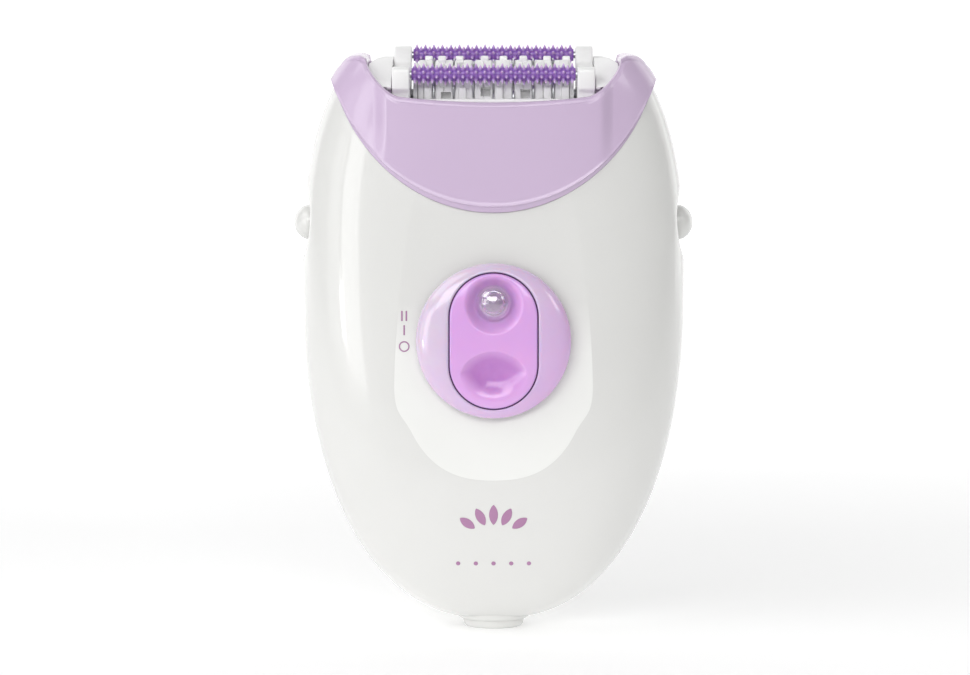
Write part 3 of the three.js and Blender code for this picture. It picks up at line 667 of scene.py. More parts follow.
def build_roller(name, node):
    """A sleeve with rings of thorns, each ring turned half a step from the next."""
    centre = node_centre(node)
    x0, x1 = node_span(node, 0)
    pitch = (x1 - x0 - 0.5) / ROLLER_RINGS
    middles = [x0 + 0.25 + pitch * (ring + 0.5) for ring in range(ROLLER_RINGS)]
    profile = [(0.86, x0), (ROLLER_CORE - 0.1, x0), (ROLLER_CORE, x0 + 0.12)]
    for middle in middles:
        profile += [(ROLLER_CORE - 0.06, middle - pitch * 0.4), (ROLLER_CORE + 0.06, middle)]
    profile += [(ROLLER_CORE, x1 - 0.12), (ROLLER_CORE - 0.1, x1), (0.86, x1)]
    sleeve = lathe(name, profile, 40, axis_through(centre))
    with editing(sleeve) as work:
        for ring, middle in enumerate(middles):
            for spike in range(SPIKES_PER_RING):
                turn = math.pi / 2 + (spike + 0.5 * (ring % 2)) / SPIKES_PER_RING * 2 * math.pi
                add_thorn(work, Vector((middle, centre.y, centre.z)), turn)
    # How far each point stands out from the sleeve. The material uses it to paint shade on the sleeve
    # between the thorns and a highlight on the thorns' tips.
    rise = sleeve.data.attributes.new("rise", "FLOAT", "POINT")
    for i, vertex in enumerate(sleeve.data.vertices):
        reach = math.hypot(vertex.co.y / MM - centre.y, vertex.co.z / MM - centre.z)
        rise.data[i].value = (reach - ROLLER_CORE) / (ROLLER_TIP - ROLLER_CORE)
    return smooth(sleeve, 60)


def add_thorn(work, root, turn):
    """A thorn that stands out from the roller's axis in the direction of turn."""
    out = Vector((0, math.cos(turn), math.sin(turn)))
    side = Vector((1, 0, 0)).cross(out)
    loops = []
    for radius, half in THORN:
        loop = []
        for k in range(8):
            a = k / 8 * 2 * math.pi
            point = root + out * radius + Vector((1, 0, 0)) * half * math.cos(a) + side * half * math.sin(a)
            loop.append(work.verts.new(point * MM))
        loops.append(loop)
    for low, high in zip(loops, loops[1:]):
        for k in range(8):
            work.faces.new((low[k], low[(k + 1) % 8], high[(k + 1) % 8], high[k]))
    work.faces.new(loops[-1])
    work.faces.new(list(reversed(loops[0])))


# ---- Tweezer drum -------------------------------------------------------------------------------

DRUM_BORE_RADIUS = 2.6
# The outermost blocks end here, beside the clamp cams.
CAM_X = 14.45
BLOCK_HALF_WIDTH = 1.72
BLOCK_RADIUS = 6.75
BLOCK_TIP = 7.55
TEETH_PER_BLOCK = 7
PLATE_THICKNESS = 0.3
PLATE_LOBES = 4
# Blocks whose window faces the front at rest.
WINDOW_TURN = {2: 0.02, 4: 0.16, 6: 0.1}


def sector(name, x0, x1, r0, r1, from_turn, to_turn, centre, steps=8):
    """A curved bar round the drum's axis. The turn is counted from the front, upwards."""
    turns = [math.pi - from_turn - (to_turn - from_turn) * k / steps for k in range(steps + 1)]
    outline = [(r1 * math.cos(t), r1 * math.sin(t)) for t in turns]
    outline += [(r0 * math.cos(t), r0 * math.sin(t)) for t in reversed(turns)]
    return prism(name, outline, x0, x1, axis_through(centre))


def build_tweezer_block(index, centre):
    """A white block of the drum: a ribbed barrel with raised teeth and windows for the tweezers."""
    middle = node_centre(f"tweezer_disc_{index}").x
    low = max(middle - BLOCK_HALF_WIDTH, -CAM_X)
    high = min(middle + BLOCK_HALF_WIDTH, CAM_X)
    rim = BLOCK_RADIUS - 0.25
    profile = [(DRUM_BORE_RADIUS, low), (rim, low), (BLOCK_RADIUS, low + 0.25),
               (BLOCK_RADIUS, middle - 0.12), (rim, middle - 0.06), (rim, middle + 0.06),
               (BLOCK_RADIUS, middle + 0.12), (BLOCK_RADIUS, high - 0.25), (rim, high),
               (DRUM_BORE_RADIUS, high)]
    barrel = lathe(f"tweezer_block_{index}", profile, 72, axis_through(centre))
    start = WINDOW_TURN.get(index, 0.5 + 0.9 * index)
    for window in range(3):
        turn = start + window * 2 * math.pi / 3
        x0 = middle - (1.35 if (index + window) % 2 else 0.55)
        cut(barrel, sector("window", x0, x0 + 1.9, 4.4, 9, turn - 0.15, turn + 0.11, centre))
    for tooth in range(TEETH_PER_BLOCK):
        turn = (tooth + 0.5) / TEETH_PER_BLOCK * 2 * math.pi + start
        x0 = middle - 0.75 + 0.85 * math.sin(2.4 * tooth + 1.7 * index)
        bar = sector("tooth", x0, x0 + 1.5, 5.5, BLOCK_TIP, turn - 0.2, turn + 0.2, centre)
        cut(barrel, round_edges(bar, 0.3, 3, 40), operation="UNION")
    return smooth(barrel, 40)


def build_tweezer_plate(index, centre):
    """A steel plate with lobes that pinch against the blocks beside it."""
    middle = node_centre(f"tweezer_plate_{index}").x
    outline = []
    for k in range(96):
        turn = k / 96 * 2 * math.pi
        lobe = 0.5 + 0.5 * math.cos(PLATE_LOBES * turn + index)
        radius = 5.6 + 1.5 * min(1, lobe * 1.6) ** 0.5
        outline.append((radius * math.cos(turn), radius * math.sin(turn)))
    low, high = middle - PLATE_THICKNESS / 2, middle + PLATE_THICKNESS / 2
    plate = prism(f"tweezer_plate_{index}_fine", outline, low, high, axis_through(centre))
    cut(plate, rod(DRUM_BORE_RADIUS, -20, 20, 32, axis_through(centre)))
    return smooth(round_edges(plate, 0.05, 2, 50), 40)


# ---- Switch -------------------------------------------------------------------------------------

SLIDE_LENGTH = math.hypot(1, FRONT_LEAN)
SLIDE_UP = Vector((0, FRONT_LEAN, 1)) / SLIDE_LENGTH
SLIDE_OUT = Vector((0, -1, FRONT_LEAN)) / SLIDE_LENGTH
SLIDE_FRAME = Matrix.Translation((0, -float(front_depth(SWITCH_Z)), SWITCH_Z)) @ Matrix(
    ((1, SLIDE_UP.x, SLIDE_OUT.x), (0, SLIDE_UP.y, SLIDE_OUT.y), (0, SLIDE_UP.z, SLIDE_OUT.z))).to_4x4()
SWITCH_COLUMNS = 240
SWITCH_TURNS = np.linspace(0, 2 * math.pi, SWITCH_COLUMNS, endpoint=False)
INSERT_RINGS = 70
# The seal between disc and insert: how far it reaches in and out from the insert's outline, how far its
# top lies under the disc's face, and its bottom
SEAL_IN = 0.14
SEAL_OUT = 0.12
SEAL_SINK = 0.16
SEAL_DEPTH = 1.6
RIM_HEIGHT = 0.75


def crown(radius):
    """Height of the switch's domed face at a distance from its middle."""
    u = np.clip(radius / SWITCH_RADIUS, 0, 1)
    return RIM_HEIGHT + (SWITCH_CROWN - RIM_HEIGHT) * (1 - u ** 3.6) ** 0.5


def under_switch(x):
    """The gap-side height of the switch's underside, which follows the housing's straight front."""
    depth = float(front_depth(SWITCH_Z))
    return 0.35 - depth * (1 - super_arc(x / HALF_WIDTH, SECTION_POWER))


def stadium_point(turn, radius, straight):
    """Points of an upright stadium, evenly turned about its middle."""
    x, u = math.cos(turn), math.sin(turn)
    half = straight / 2
    if abs(x) * half > abs(u) * radius and abs(u / x) * radius <= half:
        return math.copysign(radius, x), u / abs(x) * radius
    # On an end arc: solve |p - (0, +-half)| = radius along the ray.
    c = math.copysign(half, u)
    b = u * c
    t = b + math.sqrt(max(b * b - (half * half - radius * radius), 0))
    return x * t, u * t


def insert_outline(grow):
    """The insert's outline, grown by an amount, as plan points."""
    return np.array([stadium_point(turn, INSERT_RADIUS + grow, INSERT_STRAIGHT) for turn in SWITCH_TURNS])


def raised(plan, height):
    """Plan points lifted to a height over the slide."""
    return np.column_stack([plan, np.broadcast_to(height, len(plan))])


def slide_piece(name, rows, faces):
    """A closed piece from rows of points in the slide's frame."""
    points = [SLIDE_FRAME @ Vector(p) for p in np.concatenate(rows)]
    return fix_normals(new_piece(name, points, faces))


def build_switch_disc():
    """The round domed disc, with an opening for the insert."""
    inner = insert_outline(SEAL_OUT)
    outer = np.column_stack([np.cos(SWITCH_TURNS), np.sin(SWITCH_TURNS)]) * SWITCH_RADIUS
    under = under_switch(outer[:, 0])
    rows = [raised(outer * 0.985, under), raised(outer * 0.998, under + 0.15),
            raised(outer, 0.5 * under + 0.5 * crown(SWITCH_RADIUS))]
    for share in 1 - np.linspace(0, 1, 26) ** 1.7:
        plan = inner + (outer - inner) * share
        edge = np.hypot(*(plan - inner).T)
        sink = 0.22 * (1 - np.minimum(edge / 0.3, 1)) ** 2
        rows.append(raised(plan, crown(np.hypot(*plan.T)) - sink))
    rows.append(raised(inner, under_switch(inner[:, 0]) + 0.2))
    return smooth(slide_piece("switch_disc_fine", rows, ring_faces(len(rows), SWITCH_COLUMNS)), 50)


def scoop_share(x, u):
    """How deep the thumb scoop is, from 0 at its rim to 1. Its upper rim is crisp."""
    rise = u - SCOOP_U
    reach = np.clip(np.hypot(x / 6.3, np.where(rise > 0, rise / 5.0, rise / 4.6)), 0, 1)
    return (1 - reach ** 2) ** (2 - 1.3 * step_up(rise, -1.5, 1.5))


def insert_height(x, u):
    """The insert's face: a bowl round the lamp above and a thumb scoop below."""
    base = crown(np.hypot(x, u)) - 0.02
    bowl_reach = np.hypot(x, u - BOWL_U) / BOWL_RADIUS
    bowl = BOWL_DEPTH * (1 - step_up(bowl_reach, 0.58, 1.0))
    scoop = SCOOP_DEPTH * scoop_share(x, u)
    ridge = 0.12 * np.exp(-((u + 0.9 + 0.02 * x * x) / 2.2) ** 2)
    return base - bowl - scoop + ridge


def build_switch_insert():
    """The oval insert, closed by a small face in the middle of its top and of its underside."""
    edge = insert_outline(-SEAL_IN)
    rows = [raised(edge * 0.001, 0.45), raised(edge, under_switch(edge[:, 0]) + 0.1)]
    for share in np.linspace(1, 0.001, INSERT_RINGS):
        plan = edge * share
        rim = 0.14 * (1 - min((1 - share) * 10 / 0.3, 1)) ** 2
        rows.append(raised(plan, insert_height(*plan.T) - rim))
    piece = slide_piece("switch_insert_fine", rows, capped_faces(len(rows), SWITCH_COLUMNS))
    plan = np.concatenate(rows)
    # How deep each point lies in the thumb scoop. The material paints the scoop darker there, as painted
    # shade.
    depth = np.minimum(1, 1.6 * scoop_share(plan[:, 0], plan[:, 1]))
    scoop_shade = piece.data.attributes.new("scoop_shade", "FLOAT", "POINT")
    scoop_shade.data.foreach_set("value", depth.astype(np.float32))
    return smooth(piece, 50)


def build_insert_seal():
    """The dark line between disc and insert."""
    rows = []
    section = ((-SEAL_IN, SEAL_DEPTH), (-SEAL_IN, SEAL_SINK), (SEAL_OUT, SEAL_SINK), (SEAL_OUT, SEAL_DEPTH))
    for grow, sink in section:
        plan = insert_outline(grow)
        rows.append(raised(plan, crown(np.hypot(*plan.T)) - sink))
    return smooth(slide_piece("insert_seal", rows, ring_faces(len(rows), SWITCH_COLUMNS)), 40)


def build_lens():
    """A clear hollow dome over the lamp."""
    frame_at = SLIDE_FRAME @ Matrix.Translation((0, LAMP_U, 0))
    dome = [(LENS_RADIUS * math.cos(t), 1.6 + 2.45 * math.sin(t)) for t in np.linspace(0, math.pi / 2, 20)]
    hollow = [(1.95 * math.cos(t), 1.5 + 1.3 * math.sin(t)) for t in np.linspace(math.pi / 2, 0, 12)]
    profile = [(LENS_RADIUS, 1.1), *dome[:-1], (0, dome[-1][1])]
    profile += [(0, hollow[0][1]), *hollow[1:], (1.95, 1.1)]
    return smooth(lathe("lamp_lens_fine", profile, 96, frame_at), 40)


# ---- Buttons, inlet, holders --------------------------------------------------------------------

PIN_HOLE_RADIUS = 0.9
AXLE_BORES = {"drum_axle": 1.35, "front_roller_axle": 0.85, "rear_roller_axle": 0.85}
BASE_HALF_WIDTH = 23.9
DECK_Z = (100.5, 102.9)
DRUM_ROOM_X = 16.1
DRUM_ROOM_RADIUS = 8.6


def build_button(side, turn):
    """A domed cap on a stem with a stop flange and a latch arm inside."""
    tip = node_span("release_button_right", 0)[1]
    radius = BUTTON_RADIUS
    profile = [(0, 30.6), (4.5, 30.6), (4.5, 32.4), (radius, 32.4), (radius, tip - 3.1)]
    profile += [(radius * math.cos(t), tip - 3.0 + 3.0 * math.sin(t)) for t in np.linspace(0.05, 1.5, 18)]
    profile += [(0, tip)]
    piece = lathe(f"release_button_{side}_fine", profile, 80, at(0, 0, BUTTON_Z, turn))
    sign = 1 if side == "right" else -1
    arm_outline = [(-2, BUTTON_Z + 3.2), (2, BUTTON_Z + 3.2), (2, 91), (-2, 91)]
    cut(piece, prism("arm", arm_outline, sign * 29.7, sign * 31, ALONG_X), operation="UNION")
    return smooth(piece, 35)


def build_inlet():
    """The oval socket body that stands out of the housing's bottom."""
    rim = INLET_HALF_WIDTH
    profile = [(0, 9.5), (rim - 1.6, 9.5), (rim - 1.4, 9.2), (rim - 1.4, 0.35), (rim - 1.3, 0.1),
               (rim - 1.1, 0), (rim - 0.9, 0), (rim - 0.5, 0.18), (rim - 0.2, 0.6), (rim, 1.4),
               (rim, 9.8), (rim + 1, 9.8), (rim + 1, 11.2), (0, 11.2)]
    piece = lathe("inlet_socket_fine", profile, 96, OVAL)
    pins = [node_centre(f"inlet_pin_{side}") for side in ("left", "right")]
    cut(piece, *[rod(PIN_HOLE_RADIUS, 5, 20, 32, at(pin.x, 0, 0)) for pin in pins])
    return smooth(piece, 40)


def axle_bores():
    """Tools that clear the three axles."""
    return [rod(radius, -30, 30, 32, axis_through(node_centre(axle))) for axle, radius in AXLE_BORES.items()]


def build_holder(side):
    """The bearing block at one end of the drum: a low front block, a bridge and a tall rear block."""
    x0, x1 = node_span(f"roller_holder_{side}", 0)
    outline = [(-11.0, 103.2), (-11.0, 105.2), (-11.8, 106.0), (-11.8, 109.2)]
    outline += [(-10.9 - 0.9 * math.cos(t), 109.2 + 0.9 * math.sin(t)) for t in np.linspace(0.2, 1.5, 6)]
    outline += [(-8.0, 110.1), (-7.2, 109.5), (-6.8, 108.4), (-6.2, 108.0), (2.8, 109.7), (3.9, 110.4),
                (4.3, 112.2)]
    outline += [(7.0 - 2.7 * math.cos(t), 111.8 + 1.75 * math.sin(t)) for t in np.linspace(0.3, 2.6, 14)]
    outline += [(9.6, 111.6), (9.6, 103.2)]
    piece = prism(f"roller_holder_{side}_fine", outline, x0, x1, ALONG_X)
    piece = round_edges(piece, 0.35, 3, 35)
    cut(piece, *axle_bores())
    return smooth(piece, 40)


def build_shoulder(sign):
    """The rounded cap over one end of the drum, narrower where it stands on the deck."""
    side = [(-8.4, 101.5), (-8.4, 105.6), (-10.9, 105.8), (-11.4, 106.3), (-10.6, 107.1), (-8.0, 108.1),
            (-3.0, 109.6), (2.5, 110.8), (6.2, 111.4), (8.6, 111.5), (11.3, 110.2), (12.3, 107.8),
            (12.5, 101.5)]
    cap = prism("shoulder", side, *sorted((19.45 * sign, 24.1 * sign)), ALONG_X)
    front = [(18.0, 101.0), (20.3, 101.0), (20.3, 106.3)]
    front += [(21.2 + 2.9 * math.sin(t), 109.2 - 2.9 * math.cos(t)) for t in np.linspace(0.1, 1.5, 10)]
    front += [(24.1, 110.3), (22.8, 111.1), (20.4, 111.7), (18.0, 113.0)]
    if sign < 0:
        front = [(-x, z) for x, z in reversed(front)]
    shape = prism("shape", front, -20, 20, ALONG_MINUS_Y)
    return round_edges(intersect(cap, shape), 0.55, 4, 30)


def front_at(x):
    """The front's y at the deck."""
    return float(front_surface_y(x, DECK_Z[1] + 0.1))


def build_head_base():
    """The white carrier inside the cover: a deck with a trough for the drum, a skirt and two shoulders."""
    drum = node_centre("drum_axle")
    outline = [(x, front_at(x) + 2.1) for x in np.linspace(-BASE_HALF_WIDTH, BASE_HALF_WIDTH, 49)]
    outline += [(BASE_HALF_WIDTH, 15.0), (-BASE_HALF_WIDTH, 15.0)]
    base = prism("head_base_fine", outline, *DECK_Z, Matrix.Identity(4))
    skirt = block(-BASE_HALF_WIDTH, BASE_HALF_WIDTH, -9.6, 13.0, 93.2, 100.6)
    cut(skirt, block(-22.2, 22.2, -8.2, 11.6, 90, 103))
    trough = rod(9.5, -17.2, 17.2, 64, axis_through(drum))
    cut(trough, block(-30, 30, -30, 30, 102, 130))
    cut(base, skirt, operation="UNION")
    cut(base, trough, operation="UNION")
    round_edges(base, 0.2, 2, 50)
    for sign in (-1, 1):
        cut(base, build_shoulder(sign), operation="UNION")
    strip = [(x, front_at(x) + 1.5) for x in np.linspace(-16.4, 16.4, 41)]
    strip += [(x, y + 1.1) for x, y in reversed(strip)]
    ledge = prism("ledge", strip, 101.5, 104.15, Matrix.Identity(4))
    cut(base, round_edges(ledge, 0.25, 3, 40), operation="UNION")
    # Room for the drum, and a way in for it from above.
    drum_room = rod(DRUM_ROOM_RADIUS, -DRUM_ROOM_X, DRUM_ROOM_X, 64, axis_through(drum))
    front, rear = drum.y - DRUM_ROOM_RADIUS, drum.y + DRUM_ROOM_RADIUS
    cut(base, drum_room, block(-DRUM_ROOM_X, DRUM_ROOM_X, front, rear, drum.z, 130))
    # Room for the drum's gear, and a way up to it for the gear below.
    for x0, x1 in ((19.3, 23.3), (-23.3, -19.3)):
        cut(base, rod(5.3, x0, x1, 48, axis_through(drum)))
    cut(base, block(17.3, 23.3, drum.y - 6, drum.y + 6, 90, drum.z))
    cut(base, block(17.3, 30, drum.y - 6.4, drum.y + 6.4, 90, 98.3))
    cut(base, *axle_bores())
    return smooth(base, 35)


# ---- Printed marks ------------------------------------------------------------------------------

# How far a print's bottom and top stand out of the surface
PRINT_LIFT = (-0.02, 0.045)
SWITCH_MARKS_X = -16.95
LEAF_Z = 25.2
DOT_Z = 15.2


def front_print(name, outline, hole=None):
    """A thin raised print that lies on the housing's front. A hole has as many points as the outline."""
    bottom, top = PRINT_LIFT
    loops = [(bottom, outline), (top, outline)]
    if hole is None:
        faces = capped_faces(2, len(outline))
    else:
        loops += [(top, hole), (bottom, hole)]
        faces = ring_faces(4, len(outline))
    points = []
    for lift, loop in loops:
        for x, z in loop:
            surface_y = max(float(front_surface_y(x, z)), facet_y(x, z))
            points.append((x, surface_y - lift, z))
    return fix_normals(new_piece(name, points, faces))


def circle(x, z, radius, count=40):
    turns = [i / count * 2 * math.pi for i in range(count)]
    return [(x + radius * math.cos(turn), z + radius * math.sin(turn)) for turn in turns]


def rectangle(x, z, width, height):
    return [(x - width / 2, z - height / 2), (x + width / 2, z - height / 2),
            (x + width / 2, z + height / 2), (x - width / 2, z + height / 2)]


def petal(x, z, length, width, tilt, count=28):
    """A leaf shape, pointed at both ends."""
    points = []
    for i in range(count):
        turn = i / count * 2 * math.pi
        a = length / 2 * math.cos(turn)
        b = width / 2 * math.sin(turn) * abs(math.sin(turn)) ** 0.6
        across = a * math.cos(tilt) - b * math.sin(tilt)
        up = a * math.sin(tilt) + b * math.cos(tilt)
        points.append((x + across, z + up))
    return points


# ---- Materials ----------------------------------------------------------------------------------

class Look:
    """A node material being wired up."""

    def __init__(self, name):
        self.material = bpy.data.materials.new(name)
        self.material.use_nodes = True
        self.tree = self.material.node_tree
        self.shader = self.tree.nodes["Principled BSDF"]
        self.coordinates = self.add("ShaderNodeTexCoord").outputs["Object"]

    def add(self, kind, **settings):
        node = self.tree.nodes.new(kind)
        for key, value in settings.items():
            setattr(node, key, value)
        return node

    def link(self, source, target):
        self.tree.links.new(source, target)

    def place(self, axis):
        """The object's own coordinate along an axis, in metres."""
        split = self.add("ShaderNodeSeparateXYZ")
        self.link(self.coordinates, split.inputs["Vector"])
        return split.outputs[axis]

    def attribute(self, name):
        """A value that the mesh carries."""
        return self.add("ShaderNodeAttribute", attribute_name=name).outputs["Fac"]

    def noise(self, size, detail=3.0):
        """Noise whose features are about a size in millimetres."""
        node = self.add("ShaderNodeTexNoise")
        self.link(self.coordinates, node.inputs["Vector"])
        node.inputs["Scale"].default_value = 1 / (size * MM)
        node.inputs["Detail"].default_value = detail
        return node.outputs["Fac"]

    def spread(self, source, low, high, from_low=0.3, from_high=0.7):
        """Maps a value onto a range."""
        node = self.add("ShaderNodeMapRange")
        self.link(source, node.inputs["Value"])
        node.inputs["From Min"].default_value = from_low
        node.inputs["From Max"].default_value = from_high
        node.inputs["To Min"].default_value = low
        node.inputs["To Max"].default_value = high
        return node.outputs["Result"]

    def mix(self, factor, first, second):
        """Blends two colours, each a tuple or a socket."""
        node = self.add("ShaderNodeMix", data_type="RGBA")
        self.link(factor, node.inputs["Factor"])
        for socket, value in ((node.inputs[6], first), (node.inputs[7], second)):
            if isinstance(value, tuple):
                socket.default_value = (*value, 1)
            else:
                self.link(value, socket)
        return node.outputs[2]

    def height(self, source, distance, strength, base):
        """Adds a bump of a depth in millimetres to a base normal."""
        node = self.add("ShaderNodeBump")
        self.link(source, node.inputs["Height"])
        node.inputs["Distance"].default_value = distance * MM
        node.inputs["Strength"].default_value = strength
        self.link(base, node.inputs["Normal"])
        return node.outputs["Normal"]

    def soft_edges(self, radius):
        """A normal that rounds edges over by a radius in millimetres."""
        node = self.add("ShaderNodeBevel", samples=4)
        node.inputs["Radius"].default_value = radius * MM
        return node.outputs["Normal"]

    def set(self, **values):
        """Sets the shader's inputs, each to a number, a tuple or a socket."""
        for key, value in values.items():
            socket = self.shader.inputs[key.replace("_", " ")]
            if isinstance(value, (int, float)):
                socket.default_value = value
            elif isinstance(value, tuple):
                socket.default_value = (*value, 1) if len(value) == 3 and socket.type == "RGBA" else value
            else:
                self.link(value, socket)


def moulded_plastic(name, colour, shade, roughness, coat=0.0, depth=0.01, edge=0.15):
    """Moulded plastic: faint colour drift, fine flow texture, soft edges and slightly uneven gloss."""
    look = Look(name)
    drift = look.noise(14, 2)
    grain = look.noise(0.35, 2)
    smudge = look.noise(6, 1)
    speck = look.noise(0.12, 1)
    tone = look.mix(look.spread(drift, 0, 1, 0.1, 0.9), colour, shade)
    fine = look.mix(look.spread(speck, 0, 0.12, 0.55, 0.8), tone, shade)
    gloss = look.spread(smudge, roughness * 0.97, roughness * 1.03, 0.1, 0.9)
    bump = look.height(grain, depth, 0.35, look.soft_edges(edge))
    look.set(Base_Color=fine, Roughness=gloss, Normal=bump, Coat_Weight=coat, Coat_Roughness=0.08)
    return look.material


def pearl_plastic():
    """The housing's pearl-white lacquer: a satin base under a clear coat, with fine mica grain. On the flat
    belly facet the colour is whiter, a painted highlight that fades out upwards."""
    look = Look("pearl_white")
    # The whiter colour on the facet, fading out upwards, is a painted highlight.
    highlight_fade = look.spread(look.place("Z"), 1, 0, FACET_HIGHLIGHT_FADE[0] * MM, FACET_HIGHLIGHT_FADE[1] * MM)
    facet_highlight_share = look.add("ShaderNodeMath", operation="MULTIPLY")
    look.link(look.attribute("facet"), facet_highlight_share.inputs[0])
    look.link(highlight_fade, facet_highlight_share.inputs[1])
    facet = facet_highlight_share.outputs["Value"]
    tone = look.mix(look.spread(look.noise(25, 2), 0, 1), (0.785, 0.785, 0.765), (0.77, 0.77, 0.75))
    mica = look.mix(look.spread(look.noise(0.09, 1), 0, 0.12, 0.5, 0.75), tone, (0.93, 0.92, 0.95))
    bump = look.height(look.noise(0.9, 2), 0.002, 0.2, look.soft_edges(0.18))
    look.set(
        Base_Color=look.mix(facet, mica, (0.91, 0.915, 0.89)),
        Roughness=look.spread(look.noise(9, 2), 0.34, 0.36),
        Normal=bump, Coat_Weight=0.9, Coat_Roughness=0.07)
    return look.material


def tinted_plastic(name, pale, deep, low, high, roughness, hollow=None):
    """Translucent plastic whose tint changes across the piece, from one point to another, as painted light
    and shade. In a hollow, where the mesh says how deep it is, it takes on another tint, a painted shade."""
    look = Look(name)
    # The change of tint across the piece is painted light and shade.
    light_and_shade_gradient = look.add("ShaderNodeVectorMath", operation="DOT_PRODUCT")
    low, high = Vector(low), Vector(high)
    direction = (high - low) / (high - low).length_squared
    look.link(look.coordinates, light_and_shade_gradient.inputs[0])
    light_and_shade_gradient.inputs[1].default_value = direction / MM
    start = (low * MM).dot(direction / MM)
    share = look.spread(light_and_shade_gradient.outputs["Value"], 0, 1, start, start + 1)
    cloud = look.noise(3, 3)
    tone = look.mix(share, pale, deep)
    if hollow is not None:
        # The darker tint in the hollow is painted shade.
        tone = look.mix(look.spread(look.attribute("scoop_shade"), 0, 1, 0, 1), tone, hollow)
    fine = look.mix(look.spread(cloud, 0, 0.18), tone, deep)
    bump = look.height(look.noise(1.2, 2), 0.004, 0.25, look.soft_edges(0.15))
    look.set(
        Base_Color=fine, Roughness=look.spread(look.noise(5, 2), roughness * 0.9, roughness * 1.1),
        Normal=bump, Coat_Weight=0.6, Coat_Roughness=0.05, Subsurface_Weight=0.25,
        Subsurface_Scale=2.5 * MM)
    return look.material


def roller_rubber():
    """Purple soft plastic that lightens from the sleeve to the thorns' tips: painted shade on the sleeve
    between the thorns and a painted highlight on the tips.
    """
    look = Look("roller_purple")
    rise = look.spread(look.attribute("rise"), 0, 1, 0.0, 0.85)
    tone = look.mix(rise, (0.25, 0.10, 0.46), (0.80, 0.60, 0.90))
    cloud = look.mix(look.spread(look.noise(2, 3), 0, 0.2), tone, (0.40, 0.20, 0.62))
    gloss = look.spread(look.noise(1.5, 3), 0.26, 0.4)
    bump = look.height(look.noise(0.3, 2), 0.01, 0.3, look.soft_edges(0.05))
    look.set(
        Base_Color=cloud, Roughness=gloss, Normal=bump, Coat_Weight=0.4, Coat_Roughness=0.1,
        Subsurface_Weight=0.1, Subsurface_Scale=1.0 * MM)
    return look.material


def clear_plastic():
    """Polished clear plastic with a faint haze."""
    look = Look("clear_lens")
    haze = look.noise(0.8, 2)
    look.set(
        Base_Color=look.mix(look.spread(haze, 0, 1), (0.98, 0.95, 0.99), (0.95, 0.91, 0.98)),
        Roughness=look.spread(haze, 0.02, 0.07), Transmission_Weight=0.92, IOR=1.42,
        Specular_IOR_Level=1.0, Coat_Weight=1.0, Coat_IOR=2.2, Coat_Roughness=0.04,
        Normal=look.height(haze, 0.002, 0.2, look.soft_edges(0.1)))
    return look.material


def metal(name, colour, roughness):
    """Drawn metal with fine marks across its height and faint stains."""
    look = Look(name)
    grain = look.add("ShaderNodeTexNoise")
    stretch = look.add("ShaderNodeMapping")
    stretch.inputs["Scale"].default_value = (1, 1, 12)
    look.link(look.coordinates, stretch.inputs["Vector"])
    look.link(stretch.outputs["Vector"], grain.inputs["Vector"])
    grain.inputs["Scale"].default_value = 900
    stain = look.noise(4, 4)
    tone = look.mix(look.spread(stain, 0, 1), colour, tuple(c * 0.78 for c in colour))
    gloss = look.spread(grain.outputs["Fac"], roughness * 0.7, roughness * 1.4)
    bump = look.height(grain.outputs["Fac"], 0.006, 0.3, look.soft_edges(0.08))
    look.set(Base_Color=tone, Metallic=1.0, Roughness=gloss, Normal=bump)
    return look.material


def winding():
    """Enamelled copper turns laid side by side."""
    look = Look("winding_copper")
    wave = look.add("ShaderNodeTexWave", bands_direction="X")
    look.link(look.coordinates, wave.inputs["Vector"])
    wave.inputs["Scale"].default_value = 700
    wave.inputs["Distortion"].default_value = 1.5
    tone = look.mix(wave.outputs["Fac"], (0.36, 0.12, 0.05), (0.75, 0.32, 0.14))
    look.set(
        Base_Color=tone, Metallic=0.8, Roughness=0.35,
        Normal=look.height(wave.outputs["Fac"], 0.1, 0.6, look.soft_edges(0.1)))
    return look.material


def board():
    """Green lacquered laminate with copper tracks showing through."""
    look = Look("board_green")
    tracks = look.add("ShaderNodeTexVoronoi", feature="DISTANCE_TO_EDGE", distance="CHEBYCHEV")
    look.link(look.coordinates, tracks.inputs["Vector"])
    tracks.inputs["Scale"].default_value = 260
    line = look.spread(tracks.outputs["Distance"], 1, 0, 0.03, 0.07)
    tone = look.mix(line, (0.02, 0.13, 0.05), (0.07, 0.26, 0.10))
    look.set(
        Base_Color=tone, Roughness=look.spread(look.noise(3), 0.3, 0.45), Coat_Weight=0.4,
        Normal=look.height(line, 0.03, 0.6, look.soft_edges(0.1)))
    return look.material


